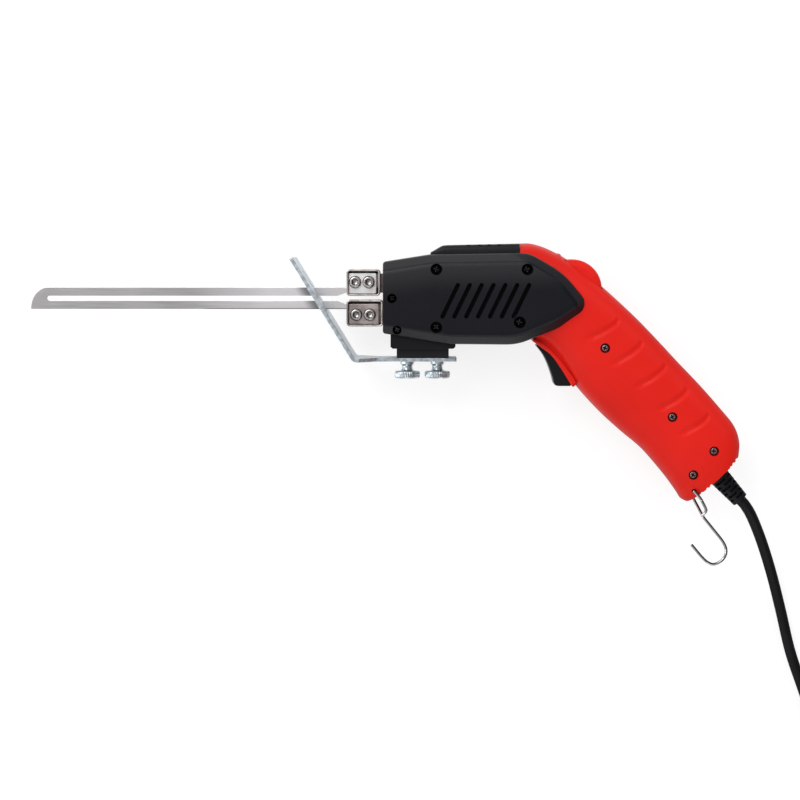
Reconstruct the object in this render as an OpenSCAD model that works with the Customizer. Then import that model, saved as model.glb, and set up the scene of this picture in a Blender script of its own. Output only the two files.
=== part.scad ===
// Electric hot knife with a slotted blade, transformer housing, pistol handle,
// sliding guide plate, hanging hook and mains cord. Lengths are in millimetres.
// +X runs from the blade tip towards the handle, +Y is the top of the tool and
// +Z its left side. The tool lies on its right side, on the plane z = 0.

/* [Blade] */
// From the blade tip to the nose face
blade_reach = 194; // [120:1:260]
// Width over both legs
blade_width = 11.8; // [9:0.1:14]
// Sheet thickness
blade_thickness = 1.2; // [0.8:0.1:2]
// Gap between the legs
blade_gap = 2.7; // [1.5:0.1:4]
// Length of the curved tip
blade_tip = 9.4; // [5:0.1:20]
// Width of a leg where it is clamped
tang_width = 2.7; // [2:0.1:3]

/* [Terminals] */
// Tray length along the blade
tray_length = 20; // [17:0.5:26]
// Tray height
tray_height = 14.8; // [13:0.1:18]
// Space between the two trays
tray_space = 2.2; // [1:0.1:3]
// Wall and floor of a tray
tray_wall = 1.6; // [1:0.1:2]
// Rim above the clamp plate
rim_proud = 2.4; // [1:0.1:5]
// Busbar thickness
busbar_thickness = 3; // [1.5:0.1:4]
// Clamp plate thickness
clamp_thickness = 2; // [1:0.1:4]
// Thread of a terminal screw
terminal_screw_d = 3; // [2:0.5:4]
// Head of a terminal screw
terminal_head_d = 5.6; // [4:0.1:7]
// Distance between the screws of one tray
terminal_pitch = 7.4; // [6:0.1:9]

/* [Housing] */
// Thickness from side to side
housing_thickness = 50; // [46:1:60]
// Height of the housing
housing_height = 50.6; // [48:0.2:56]
// Height of the nose face
nose_height = 40.2; // [38:0.2:46]
// From the nose face to the front body screws
nose_length = 29; // [29:0.5:34]
// Wall of the housing
housing_wall = 2.6; // [2:0.1:3]
// Width of the sloping border
border_width = 5; // [3:0.1:7]
// Depth of the sloping border
border_depth = 6.5; // [3:0.1:10]
// Number of vents in a side
vent_count = 7; // [3:1:7]
// Distance between vents
vent_pitch = 6.35; // [5:0.05:6.5]
// Width of a vent
vent_width = 2.4; // [1.5:0.1:3]
// Length of a vent
vent_length = 19.7; // [10:0.1:20]
// Lean of a vent from upright
vent_lean = 26; // [0:1:30]
// Height of the rail above the housing
rail_height = 4.9; // [3:0.1:6]
// Width of the rail
rail_width = 26; // [20:1:30]

/* [Foot and guide] */
// Thickness of the foot block from side to side
foot_width = 30; // [24:1:34]
// Height of the pedestal
pedestal_height = 5.2; // [4:0.1:8]
// Width of the guide plate at the blade
guide_width = 40; // [30:1:48]
// Width of the guide plate on the pedestal
tongue_width = 22; // [16:1:24]
// Guide plate thickness
guide_thickness = 2; // [1.5:0.1:3]
// Slope of the guide leg
guide_slope = 58.5; // [50:0.5:64]
// Length of the guide leg
guide_leg = 63; // [50:1:70]
// Slot of the guide beside the blade
guide_slot_side = 1.3; // [0.8:0.1:3]
// Travel of the guide towards the tip
guide_forward = 5; // [2:0.5:5]
// Travel of the guide towards the handle
guide_back = 4; // [2:0.5:4]
// Thread of a thumb screw
thumb_screw_d = 4; // [3:0.5:5]
// Distance between the thumb screws
thumb_pitch = 16.5; // [15.5:0.5:17]
// Head of a thumb screw
thumb_head_d = 13.9; // [10:0.1:15]
// Collar of a thumb screw
thumb_collar_d = 8; // [7:0.1:9]

/* [Screws] */
// Thread of a body screw
body_screw_d = 3; // [2.5:0.5:3.5]
// Hole over a body screw
body_hole_d = 6.2; // [5.5:0.1:6.4]
// Thread of a nose or handle screw
small_screw_d = 2.5; // [2:0.5:3]
// Hole over a nose or handle screw
small_hole_d = 5; // [4.4:0.1:5.2]

/* [Handle] */
// Thickness from side to side
handle_thickness = 38.6; // [37:0.2:40]
// Wall of the handle
handle_wall = 2.4; // [2:0.1:2.6]
// Squareness of the handle section
handle_square = 2.6; // [2:0.1:3]
// Width of the trigger
trigger_width = 15; // [12:0.5:16]
// Angle of a full pull
trigger_angle = 10; // [4:0.5:10]
// Pin of the trigger
trigger_pin_d = 3; // [2:0.5:4]
// Diameter of the dial
dial_d = 32.4; // [31:0.2:33]
// Width of the dial
dial_width = 18; // [12:0.5:18]
// Shaft of the potentiometer
shaft_d = 6; // [4:0.5:8]

/* [Hook] */
// Wire of the hook
hook_wire_d = 1.6; // [1.2:0.1:2]

/* [Cord] */
// Cord diameter
cord_d = 6; // [5:0.1:6.4]
// Mean radius of the outer loop
coil_radius = 47; // [46:0.5:49]
// Turns in the coil, ending in a half turn
coil_turns = 6.5; // [4.5:1:6.5]
// Width of the tie
tie_width = 8; // [4:0.5:10]
// Plug pin diameter
plug_pin_d = 4; // [3.8:0.1:4.8]
// Distance between the plug pins
plug_pin_pitch = 18.6; // [17.5:0.1:19]

/* [Fits] */
// Radial gap of a turning or sliding fit
running_gap = 0.05; // [0.02:0.01:0.1]
// Gap between fixed pieces
fixed_gap = 0.1; // [0.05:0.01:0.2]
// Gap beside moving pieces on curved faces
curve_gap = 0.4; // [0.3:0.05:0.6]

/* [Hidden] */
e = 0.01;

// Levels from the middle plane of the tool
half = housing_thickness / 2;
high = housing_height / 2;
nose_x = -nose_length;
blade_top = blade_thickness / 2;
busbar_low = -blade_top - busbar_thickness;
tray_floor = busbar_low - fixed_gap;
tray_low = tray_floor - tray_wall;
clamp_top = blade_top + clamp_thickness;
rim_top = clamp_top + rim_proud;

// Terminals
leg = blade_width / 2;
tray_x1 = nose_x - 0.7;
tray_x0 = tray_x1 - tray_length;
tray_y = (tray_space + tray_height) / 2;
terminal_x = (tray_x0 + tray_x1) / 2 - 1.6;
busbar_y0 = 3;
busbar_y1 = tray_space / 2 + tray_height - tray_wall - 0.8;
busbar_neck_y1 = 10;
busbar_end_x = 3;

// Housing outline, clockwise from the top of the nose, as x, y and corner radius
housing_corners = [
  [nose_x, nose_height * 0.507, 1.5], [-3.9, high, 10], [49, high, 16],
  [68, high * 0.573, 34], [82.5, -4, 7], [66, -high * 0.62, 26],
  [43, -high, 18], [7, -high, 12], [nose_x, -nose_height * 0.493, 1.5]
];
skirt = half - border_depth;
foot_a = housing_corners[8];
foot_b = housing_corners[7];

// Screw places
body_screws_at = [[-0.8, 16.1], [-0.8, -15], [48, 16.1], [44, -12.3]];
nose_screws_at = [[-24.4, 1.1], [-21.9, -16.6]];
nose_rests = [6, 8];
screw_seat = 9;
body_boss_d = body_hole_d + 3;
small_boss_d = small_hole_d + 2;

// Foot and guide levels
foot_half = foot_width / 2;
foot_low = -high - 1.65;
guide_top = foot_low - pedestal_height;
guide_low = guide_top - guide_thickness - running_gap;
bend_x = -43.5;
tongue_x = 10.4;
thumb_xs = [-thumb_pitch, 0];

// Transformer
core_x0 = 5;
core_x1 = 38;
core_y = 17.5;
core_z = 11;
leg_x0 = 16.5;
leg_x1 = 26.5;
window_x0 = 10;
window_x1 = 33;
window_y = 11.5;
bobbin_wall = 1.2;

// Handle edges from the neck to the end: the front edge and the back edge
handle_front = [
  [46, -22], [52.5, -22.6], [59, -25.2], [65.3, -31.5], [70.5, -39],
  [75.8, -47.6], [84.2, -57.2], [92.4, -65.4], [101.8, -73.7], [111.7, -82],
  [121, -92.4], [127.6, -100.7], [132, -107], [134.3, -110.3], [137.5, -111.9]
];
handle_back = [
  [46, 29.7], [51.5, 29.7], [59.4, 27.2], [70.4, 21.4], [80.3, 14],
  [89.7, 6.6], [99, -1.7], [108.9, -11], [119.9, -22.3], [131.5, -34.7],
  [143.6, -47.3], [154.6, -59.7], [162.5, -69.5], [166, -79], [166.2, -86.8]
];
handle_rings = 28;
handle_sides = 14;
end_wall = 0.972;
end_at = [154.7, -97.5];
end_axis = [0.676, -0.737];
end_side = [0.737, 0.676];
// Places on the handle as station and cross fraction
handle_screws_at = [[0.416, 0.053], [0.678, 0.01], [0.844, 0.237], [0.838, -0.473]];
hook_at = [139.5, -104.3];
groove_ends = [
  [[79.1, -21.8], [97.9, -12.6]], [[92.6, -35.7], [110.8, -24.8]],
  [[106.1, -47.8], [123.7, -37.1]], [[118, -60.2], [135.7, -50]],
  [[130, -73.7], [147.3, -64.1]]
];

// Dial, trigger and switch
dial_at = [73.3, 5.1];
pivot = [61, -19.5];
trigger_front = [
  [53.9, -25.9], [57.2, -30], [59.6, -34.4], [61.4, -39], [62.7, -43],
  [63.8, -46.6], [65.5, -47.8]
];
trigger_back = [[72, -47.6], [72.6, -46], [71.5, -38], [68.5, -29], [65.5, -20]];
lip_front = [
  [51.2, -23.6], [57.2, -27], [63.2, -33], [67.9, -39.4], [71.8, -45.6], [74.5, -50.4]
];
lip_back = [
  [77, -50.4], [74.6, -44.2], [70.6, -37.4], [65.6, -30.6], [59.2, -24.4], [52.5, -21]
];
push_at = [73, -45.5];
push_axis = [0.908, 0.419];
push_gap = 0.5;
switch_front = 7.5;
switch_size = [12, 12, 14];
plunger_d = 4;
pot_d = shaft_d + 5;
pot_depth = 3;

// Cord
clamp_at = -24;
cord_start = -31;
relief_end = 18;
relief_hole_d = 10.4;
floor_lift = 1;
coil_pitch = cord_d + 0.6;
coil_step = cord_d + 0.55;
coil_center = [263, -264];
coil_z = cord_d / 2 + floor_lift;
coil_sides = 6;
cord_sides = 10;
tail_end = [coil_center[0] + coil_radius, coil_center[1] + 62, 7];
plug_thickness = 14;
plug_width = 35;
plug_length = 36;
plug_pin_length = 19;
plug_root_d = plug_pin_d - 0.8;

// Points and curves
function flat(p) = [p[0], p[1]];
function unit(v) = v / norm(v);
function left_of(v) = [-v[1], v[0]];
function corner_arc(p, q, s, r, n) =
  let (u = unit(p - q), v = unit(s - q), a = acos(u * v) / 2)
  let (c = q + unit(u + v) * r / sin(a), d = r / tan(a))
  let (b = q + u * d - c, turn = (cross(u, v) > 0 ? -1 : 1) * (180 - 2 * a))
  let (b0 = atan2(b[1], b[0]))
  [for (i = [0:n]) c + r * [cos(b0 + turn * i / n), sin(b0 + turn * i / n)]];
function rounded(c, n = 5) = [
  for (i = [0:len(c) - 1])
    let (k = len(c))
    each corner_arc(flat(c[(i + k - 1) % k]), flat(c[i]), flat(c[(i + 1) % k]), c[i][2], n)
];
function box_corners(w, h, r) =
  [[-w / 2, h / 2, r], [w / 2, h / 2, r], [w / 2, -h / 2, r], [-w / 2, -h / 2, r]];
function edge(p, q, d) = let (t = unit(q - p)) [p + [t[1], -t[0]] * d, t];
function meet(a, b) = a[0] + a[1] * cross(b[0] - a[0], b[1]) / cross(a[1], b[1]);
// Clockwise outline moved inwards, with its own distance for the last edge
function inset(c, d, last) = [
  for (i = [0:len(c) - 1])
    let (k = len(c), p = flat(c[(i + k - 1) % k]), q = flat(c[i]), s = flat(c[(i + 1) % k]))
    let (d0 = i == 0 ? last : d, d1 = i == k - 1 ? last : d)
    let (m = meet(edge(p, q, d0), edge(q, s, d1)))
    [m[0], m[1], max(c[i][2] - d, 0.8)]
];
function blend_at(p, i, t) =
  let (k = len(p) - 1, a = p[max(i - 1, 0)], b = p[i], c = p[i + 1], d = p[min(i + 2, k)])
  0.5 * (2 * b + (c - a) * t + (2 * a - 5 * b + 4 * c - d) * t * t
    + (3 * b - a - 3 * c + d) * t * t * t);
function along(p, s) =
  let (k = len(p) - 1, i = min(floor(s * k), k - 1))
  blend_at(p, i, s * k - i);
function smooth(p, n) = [for (i = [0:n]) along(p, i / n)];

// Handle section: a rounded box between the front and back edges
function bow(x) = sign(x) * pow(abs(x), 2 / handle_square);
function handle_half(s) = handle_thickness / 2 * (1 - 0.1 * s * s);
function handle_point(s, c) =
  let (f = along(handle_front, s), b = along(handle_back, s))
  (f + b) / 2 + (b - f) / 2 * c;
function handle_height(s, c) =
  handle_half(s) * pow(1 - pow(abs(c), handle_square), 1 / handle_square);
function handle_section(s, grow, n, sweep, back) =
  let (f = along(handle_front, s), b = along(handle_back, s))
  let (m = (f + b) / 2 - [back, 0], h = (b - f) / 2)
  let (reach = norm(h) + grow, u = unit(h), t = handle_half(s) + grow)
  [
    for (i = [0:n])
      let (a = sweep * i / n, q = m - u * reach * bow(cos(a)))
      [q[0], q[1], t * bow(sin(a))]
  ];
function quad(a, b, c, d) = [[a, b, c], [a, c, d]];

// Tubes along a path
function heading(p, i) = unit(p[min(i + 1, len(p) - 1)] - p[max(i - 1, 0)]);
function tube_ring(p, t, r, n) =
  let (s = unit(cross(t, [0, 0, 1])), u = cross(s, t))
  [for (k = [0:n - 1]) p + r * (cos(360 * k / n) * s + sin(360 * k / n) * u)];
module tube(path, d, n) {
  k = len(path);
  points = [for (i = [0:k - 1]) each tube_ring(path[i], heading(path, i), d / 2, n)];
  sides = [
    for (i = [0:k - 2], j = [0:n - 1])
      let (a = i * n + j, b = i * n + (j + 1) % n)
      each quad(a, b, b + n, a + n)
  ];
  caps = [[for (j = [n - 1:-1:0]) j], [for (j = [0:n - 1]) (k - 1) * n + j]];
  polyhedron(points, concat(sides, caps), convexity = 12);
}

// Placing
module lift() {
  translate([0, 0, half]) children();
}
module at(p, z = 0) {
  translate([p[0], p[1], z]) children();
}
module rod(p, d, z0, z1) {
  at(p, z0) cylinder(d = d, h = z1 - z0, $fn = 40);
}
module box(x0, x1, y0, y1, z0, z1) {
  translate([x0, y0, z0]) cube([x1 - x0, y1 - y0, z1 - z0]);
}
module slab(corners, z0, z1, n = 5) {
  translate([0, 0, z0]) linear_extrude(z1 - z0) polygon(rounded(corners, n));
}
module facing(v) {
  rotate([0, 0, atan2(v[1], v[0])]) children();
}
module down_y() {
  rotate([90, 0, 0]) children();
}

// Left and right nose shells
module nose_form(wall) {
  hull() {
    slab(inset(housing_corners, wall, wall), wall > 0 ? -1 : 0, skirt - wall * 0.4);
    slab(inset(housing_corners, border_width + wall, wall + 0.8), half - wall - e, half - wall);
  }
}
module handle_form(grow, back) {
  n = 2 * handle_sides;
  k = 14;
  s1 = 0.5;
  points = [
    for (i = [0:k])
      each [
        for (q = [handle_section(s1 * i / k, grow, n, 360, i == 0 ? back : 0)], j = [0:n - 1]) q[j]
      ]
  ];
  sides = [
    for (i = [0:k - 1], j = [0:n - 1])
      let (a = i * n + j, b = i * n + (j + 1) % n)
      each quad(a, b, b + n, a + n)
  ];
  caps = [[for (j = [n - 1:-1:0]) j], [for (j = [0:n - 1]) k * n + j]];
  polyhedron(points, concat(sides, caps), convexity = 4);
}
module vents() {
  for (i = [0:vent_count - 1])
    translate([6.9 + i * vent_pitch, -0.2, 0]) rotate([0, 0, -vent_lean]) {
      box(-vent_width / 2, vent_width / 2, -vent_length / 2, vent_length / 2, half - 6, half + 1);
      for (y = [-1, 1]) rod([0, y * vent_length / 2], vent_width, half - 6, half + 1);
    }
}
module nose_shell(posts) {
  difference() {
    union() {
      difference() {
        nose_form(0);
        nose_form(housing_wall);
        handle_form(0.3, 0.4);
        vents();
      }
      for (p = body_screws_at) rod(p, body_boss_d, 0, half - 2);
      for (i = [0, 1]) rod(nose_screws_at[i], small_boss_d, nose_rests[i] + fixed_gap, half - 2);
      for (x = [core_x0 + 3, core_x1 - 3], y = [-1, 1])
        rod([x, y * (core_y - 3)], 5, core_z + fixed_gap, half - 2);
    }
    box(nose_x - 1, nose_x + 4, -17 - fixed_gap, 17 + fixed_gap, -1, 6 + fixed_gap);
    box(-25 - fixed_gap, -18.8 + fixed_gap, -high - 5, -17.4, -1, 8 + fixed_gap);
    for (x = [6, 36]) box(x - fixed_gap, x + 6 + fixed_gap, high - 6, high + 1, -1, 4 + fixed_gap);
    children();
  }
}
module left_nose_shell() {
  color("#232428") lift() nose_shell() {
    for (p = body_screws_at) {
      rod(p, body_screw_d + 0.6, -1, half + 1);
      rod(p, body_hole_d, screw_seat, half + 1);
    }
    for (p = nose_screws_at) {
      rod(p, small_screw_d + 0.6, -1, half + 1);
      rod(p, small_hole_d, screw_seat + 4, half + 1);
    }
  }
}
module right_nose_shell() {
  color("#232428") lift() mirror([0, 0, 1]) nose_shell() {
    for (p = body_screws_at) rod(p, body_screw_d + 2 * fixed_gap, -1, 15);
    for (p = nose_screws_at) rod(p, small_screw_d + 2 * fixed_gap, -1, 17);
  }
}
module screw(p, thread, head, z_head, z_tip, rise) {
  difference() {
    union() {
      rod(p, thread, z_tip, z_head + e);
      rod(p, head, z_head, z_head + rise);
    }
    for (a = [0, 90])
      at(p, z_head + rise) rotate([0, 0, a]) cube([head * 0.6, 0.7, 2.4], center = true);
  }
}
module body_screws() {
  color("#8d8f94") lift() for (p = body_screws_at)
    screw(p, body_screw_d, body_hole_d - 2 * fixed_gap - 0.2, screw_seat, -14, 2.2);
}
module nose_screws() {
  color("#8d8f94") lift() for (p = nose_screws_at)
    screw(p, small_screw_d, small_hole_d - 2 * fixed_gap - 0.2, screw_seat + 4, -16, 2);
}

// Rail on top of the housing
module top_vent_cover() {
  rail_z = rail_width / 2;
  color("#1f2024") lift() difference() {
    union() {
      translate([0, 0, -rail_z]) linear_extrude(rail_width)
        polygon([[-3.8, high], [2.2, high + 0.67 * rail_height], [6, high + 0.77 * rail_height],
          [45.2, high + rail_height], [45.6, high]]);
      for (x = [6, 36]) box(x, x + 6, high - 4.5, high + 1, -4, 4);
    }
    for (x = [18.7, 22.8, 27.5, 33]) box(x - 0.8, x + 0.8, high + 1.6, high + 9, -9, 9);
    for (z = [-1, 1]) translate([0, high + rail_height + 1.4, z * rail_z])
      rotate([45, 0, 0]) cube([140, 4, 4], center = true);
  }
}

// Foot block and its nuts
module foot_block() {
  slope = (foot_b[1] - foot_a[1]) / (foot_b[0] - foot_a[0]);
  foot_x0 = -25.5;
  foot_x1 = 9.7;
  top_at = foot_a[1] + slope * (foot_x0 - foot_a[0]) - fixed_gap;
  color("#26272b") lift() difference() {
    union() {
      translate([0, 0, -foot_half]) linear_extrude(foot_width)
        polygon([[foot_x0, top_at], [foot_b[0], -high - fixed_gap], [foot_x1, -high - fixed_gap],
          [foot_x1, foot_low + 1], [foot_x1 - 1.2, foot_low], [foot_x0 + 1.2, foot_low],
          [foot_x0, foot_low + 1]]);
      box(-22.2, 6.1, guide_top, foot_low + e, -tongue_width / 2, tongue_width / 2);
      box(-25, -18.8, top_at - 1.6, nose_screws_at[1][1] + 2.2, -8, 8);
    }
    rod(nose_screws_at[1], small_screw_d + 0.6, -20, 20);
    for (x = thumb_xs) {
      translate([x, 0, 0]) down_y() cylinder(d = thumb_screw_d + 0.4, h = 60, $fn = 40);
      box(x - 3.6, x + 3.6, guide_top + 2.4, -10, -3.6, 3.6);
    }
  }
}
module thumb_screw_nuts() {
  color("#b9b9b4") lift() for (x = thumb_xs) difference() {
    box(x - 3.5, x + 3.5, guide_top + 2.4, guide_top + 5.6, -3.5, 3.5);
    translate([x, 0, 0]) down_y() cylinder(d = thumb_screw_d + 2 * running_gap, h = 60, $fn = 40);
  }
}

// Guide plate
module guide_plate() {
  t = guide_thickness;
  r = 2.2;
  way = [-cos(guide_slope), sin(guide_slope)];
  c = [bend_x, guide_top - running_gap + r];
  turns = [for (i = [0:6]) -90 - guide_slope * i / 6];
  inner = [for (a = turns) c + r * [cos(a), sin(a)]];
  outer = [for (i = [6:-1:0]) c + (r + t) * [cos(turns[i]), sin(turns[i])]];
  wide = guide_width / 2;
  slim = tongue_width / 2;
  color("#b8c8d4") lift() difference() {
    translate([0, 0, -wide]) linear_extrude(guide_width)
      polygon(concat([[tongue_x, c[1] - r]], inner, [inner[6] + way * guide_leg],
        [outer[0] + way * guide_leg], outer, [[tongue_x, c[1] - r - t]]));
    for (s = [-1, 1]) translate([0, guide_top + 1, 0]) down_y() linear_extrude(t + 2.5)
      polygon([[-33, s * slim], [-42.5, s * (wide + e)], [-42.5, s * (wide + 5)],
        [30, s * (wide + 5)], [30, s * slim]]);
    box(-100, -50, -leg - 2.2, 15, -blade_top - guide_slot_side, blade_top + guide_slot_side);
    for (x = thumb_xs) {
      x0 = x - guide_back;
      x1 = x + guide_forward;
      w = thumb_screw_d / 2 + curve_gap;
      box(x0, x1, guide_low - 1, guide_top + 1, -w, w);
      for (q = [x0, x1]) translate([q, guide_top + 1, 0]) down_y() cylinder(r = w, h = t + 3, $fn = 40);
    }
  }
}

// Thumb screws
module thumb_screw(x) {
  neck = 3;
  ring = thumb_collar_d / 2;
  knob = thumb_head_d / 2;
  color("#c9c9c6") lift() translate([x, guide_low - running_gap, 0]) down_y() difference() {
    rotate_extrude($fn = 64) polygon([
      [0, -guide_thickness - 5.4], [thumb_screw_d / 2, -guide_thickness - 5.4],
      [thumb_screw_d / 2, 0], [ring, 0], [ring, 1.7], [neck, 2.3], [neck, 4.9], [neck + 0.4, 5.5],
      [knob - 0.5, 5.5], [knob, 6], [knob, 9.1], [knob - 0.5, 9.6], [0, 9.6]
    ]);
    for (i = [0:29]) rotate([0, 0, i * 12]) translate([knob + 0.15, 0, 5]) cylinder(d = 0.9, h = 6, $fn = 16);
  }
}
module front_thumb_screw() {
  thumb_screw(thumb_xs[0]);
}
module rear_thumb_screw() {
  thumb_screw(thumb_xs[1]);
}

// Blade
module blade() {
  x0 = nose_x - blade_reach;
  gap = blade_gap / 2;
  end_x = tray_x1 - tray_wall - 1;
  tip = [for (i = [0:10]) [x0 + blade_tip * (1 - cos(9 * i)), -leg + blade_width * sin(9 * i)]];
  slot = [for (i = [0:8]) [x0 + blade_tip + gap + 0.6, 0] + gap * [cos(90 + 22.5 * i), sin(90 + 22.5 * i)]];
  color("#b7b4b2") lift() translate([0, 0, -blade_top]) linear_extrude(blade_thickness)
    polygon(concat(tip, [[end_x, leg], [end_x, leg - tang_width], [tray_x0, leg - tang_width],
      [tray_x0 - 5, gap]], slot, [[tray_x0 - 5, -gap], [tray_x0, tang_width - leg],
      [end_x, tang_width - leg], [end_x, -leg]]));
}

// Terminal trays, clamp plates, screws, busbars and insulator
module terminal_tray(s) {
  h = tray_height;
  color("#c8c4c2") lift() difference() {
    at([(tray_x0 + tray_x1) / 2, s * tray_y]) slab(box_corners(tray_length, h, 2), tray_low, rim_top);
    at([(tray_x0 + tray_x1) / 2, s * tray_y])
      slab(box_corners(tray_length - 2 * tray_wall, h - 2 * tray_wall, 0.8), tray_floor, rim_top + 1);
    scale([1, s, 1]) {
      box(tray_x0 - 1, tray_x0 + 4, leg - tang_width - 0.3, leg + 0.3, -blade_top - 0.2, blade_top + 0.2);
      box(tray_x1 - 4, tray_x1 + 1, busbar_y0 - 0.2, busbar_y1 + 0.2, busbar_low - 0.2, 0.2 - blade_top);
    }
  }
}
module upper_terminal_tray() {
  terminal_tray(1);
}
module lower_terminal_tray() {
  terminal_tray(-1);
}
module terminal_places(s) {
  for (i = [-0.5, 0.5]) at([terminal_x + i * terminal_pitch, s * (tray_y + 0.4)]) children();
}
module clamp_plate(s) {
  y0 = tray_space / 2 + tray_wall + 0.3;
  color("#d5d0cc") lift() difference() {
    scale([1, s, 1])
      box(tray_x0 + tray_wall + 0.3, tray_x1 - tray_wall - 1.4, y0, busbar_y1, blade_top, clamp_top);
    terminal_places(s) cylinder(d = terminal_screw_d + 0.3, h = 9, $fn = 40);
  }
}
module upper_clamp_plate() {
  clamp_plate(1);
}
module lower_clamp_plate() {
  clamp_plate(-1);
}
module terminal_screws() {
  color("#a9a5a3") lift() for (s = [1, -1]) terminal_places(s) difference() {
    union() {
      translate([0, 0, busbar_low + 0.2]) cylinder(d = terminal_screw_d, h = 9, $fn = 40);
      translate([0, 0, clamp_top]) cylinder(d = terminal_head_d, h = 2.6, $fn = 40);
    }
    translate([0, 0, clamp_top + 1]) cylinder(d = terminal_head_d * 0.55, h = 9, $fn = 6);
  }
}
module busbar(s) {
  color("#b5713c") lift() difference() {
    scale([1, s, 1]) {
      box(tray_x0 + tray_wall + 0.4, -18, busbar_y0, busbar_y1, busbar_low, -blade_top);
      box(-18 - e, busbar_end_x, busbar_y0, busbar_neck_y1, busbar_low, -blade_top);
    }
    terminal_places(s) translate([0, 0, -20])
      cylinder(d = terminal_screw_d + 2 * fixed_gap, h = 40, $fn = 40);
  }
}
module upper_busbar() {
  busbar(1);
}
module lower_busbar() {
  busbar(-1);
}
module terminal_insulator() {
  color("#e4dccb") lift() difference() {
    union() {
      box(nose_x - 0.3, -25.4, -17, 17, -6, 6);
      box(-25.4 - e, -20.6, -10, 10, -6, 6);
    }
    for (s = [1, -1]) scale([1, s, 1]) box(nose_x - 2, -10, busbar_y0 - fixed_gap, busbar_y1 + fixed_gap,
      busbar_low - fixed_gap, fixed_gap - blade_top);
    rod(nose_screws_at[0], small_screw_d + 0.6, -20, 20);
  }
}

// Transformer
module transformer_core() {
  color("#5d5f63") lift() difference() {
    box(core_x0, core_x1, -core_y, core_y, -core_z, core_z);
    box(window_x0, leg_x0, -window_y, window_y, -core_z - 1, core_z + 1);
    box(leg_x1, window_x1, -window_y, window_y, -core_z - 1, core_z + 1);
  }
}
module leg_tube(gap, wall_x, wall_z, y0, y1) {
  difference() {
    box(leg_x0 - gap - wall_x, leg_x1 + gap + wall_x, y0, y1, -core_z - gap - wall_z, core_z + gap + wall_z);
    box(leg_x0 - gap, leg_x1 + gap, y0 - 1, y1 + 1, -core_z - gap, core_z + gap);
  }
}
module winding_bobbin() {
  top = window_y - fixed_gap;
  color("#d9d2b8") lift() {
    leg_tube(fixed_gap, bobbin_wall, bobbin_wall, -top, top);
    for (y = [-top, top - bobbin_wall]) leg_tube(fixed_gap, 6, 7.4, y, y + bobbin_wall);
  }
}
module primary_winding() {
  color("#9c4a22") lift()
    leg_tube(bobbin_wall + 2 * fixed_gap, 4, 5, -window_y + bobbin_wall + 2 * fixed_gap, -0.5);
}
module secondary_strap() {
  z0 = core_z + bobbin_wall + 0.4;
  z1 = z0 + 2;
  x2 = leg_x1 + bobbin_wall + 0.4;
  color("#b87333") lift() {
    for (s = [-1, 1]) scale([1, 1, s]) {
      box(8.6, x2 + 2, 0.5, 9.5, z0, z1);
      box(x2, x2 + 2, 0.5, 9.5, -e, z1);
    }
    box(-3, 8.6 + e, 4, 9, z0, z1);
    box(-3, -1, 4, 9, -blade_top, z1);
    box(-10, -1, 4, 9, -blade_top, 2 - blade_top);
    scale([1, -1, -1]) {
      box(-3, 8.6 + e, 4, 9, z0, z1);
      box(-3, -1, 4, 9, -busbar_low, z1);
      box(-10, -1, 4, 9, -busbar_low, 2 - busbar_low);
    }
    box(8.6, 10.8, -9, 1, -z1, -z0);
  }
}

// Left and right handle shells
module handle_shell_form() {
  n = handle_sides;
  k = handle_rings;
  w = n + 1;
  m = (k + 1) * w;
  points = concat(
    [for (i = [0:k]) each handle_section(i / k, 0, n, 180, 0)],
    [for (i = [0:k]) each handle_section(end_wall * i / k, -handle_wall, n, 180, 0)]
  );
  skin = [
    for (i = [0:k - 1], j = [0:n - 1])
      let (a = i * w + j)
      each concat(quad(a, a + 1, a + w + 1, a + w), quad(m + a, m + a + w, m + a + w + 1, m + a + 1))
  ];
  seam = [
    for (i = [0:k - 1])
      let (a = i * w, b = i * w + n)
      each concat(quad(a, a + w, m + a + w, m + a), quad(b, m + b, m + b + w, b + w))
  ];
  neck = [for (j = [0:n - 1]) each quad(j, m + j, m + j + 1, j + 1)];
  z = k * w;
  last = concat(
    [for (j = [1:n - 1]) [z, z + j, z + j + 1]],
    [for (j = [1:n - 1]) [m + z, m + z + j + 1, m + z + j]],
    quad(z, z + n, m + z + n, m + z)
  );
  polyhedron(points, concat(skin, seam, neck, last), convexity = 8);
}
module handle_shell(far) {
  lip_z = trigger_width / 2 + curve_gap + 3;
  room = trigger_width / 2 + curve_gap;
  difference() {
    union() {
      handle_shell_form();
      linear_extrude(lip_z) polygon(concat(smooth(lip_front, 12), smooth(lip_back, 12)));
      for (q = handle_screws_at)
        rod(handle_point(q[0], q[1]), small_boss_d, 0, handle_height(q[0], q[1]) - 1.2);
      rod(hook_at, hook_wire_d + 4, 0, 13.6);
      rod(pivot, trigger_pin_d + 4, room, 12.5);
      children(0);
    }
    linear_extrude(room) polygon([[52.9, -25.2], [72.8, -48.4], [84, -50], [84, -30],
      [70, -14.5], [56, -14.5]]);
    rod(pivot, trigger_pin_d + 2 * fixed_gap, -1, room + 3);
    at(dial_at, -1) cylinder(d = dial_d + 2 * curve_gap, h = dial_width / 2 + curve_gap + 1, $fn = 72);
    for (p = body_screws_at) rod(p, body_boss_d + 0.8, -1, half);
    rod(hook_at, hook_wire_d + 2 * curve_gap, -1, half);
    at(end_at) facing(end_axis) translate([-9, 0, 0]) rotate([0, 90, 0])
      cylinder(d = relief_hole_d + 2 * fixed_gap, h = 14, $fn = 48);
    for (g = groove_ends) {
      d = g[1] - g[0];
      at(g[0], handle_thickness / 2 + 0.9) facing(d) rotate([0, 97, 0])
        cylinder(r = 2, h = norm(d), $fn = 24);
    }
    children(1);
  }
}
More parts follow.
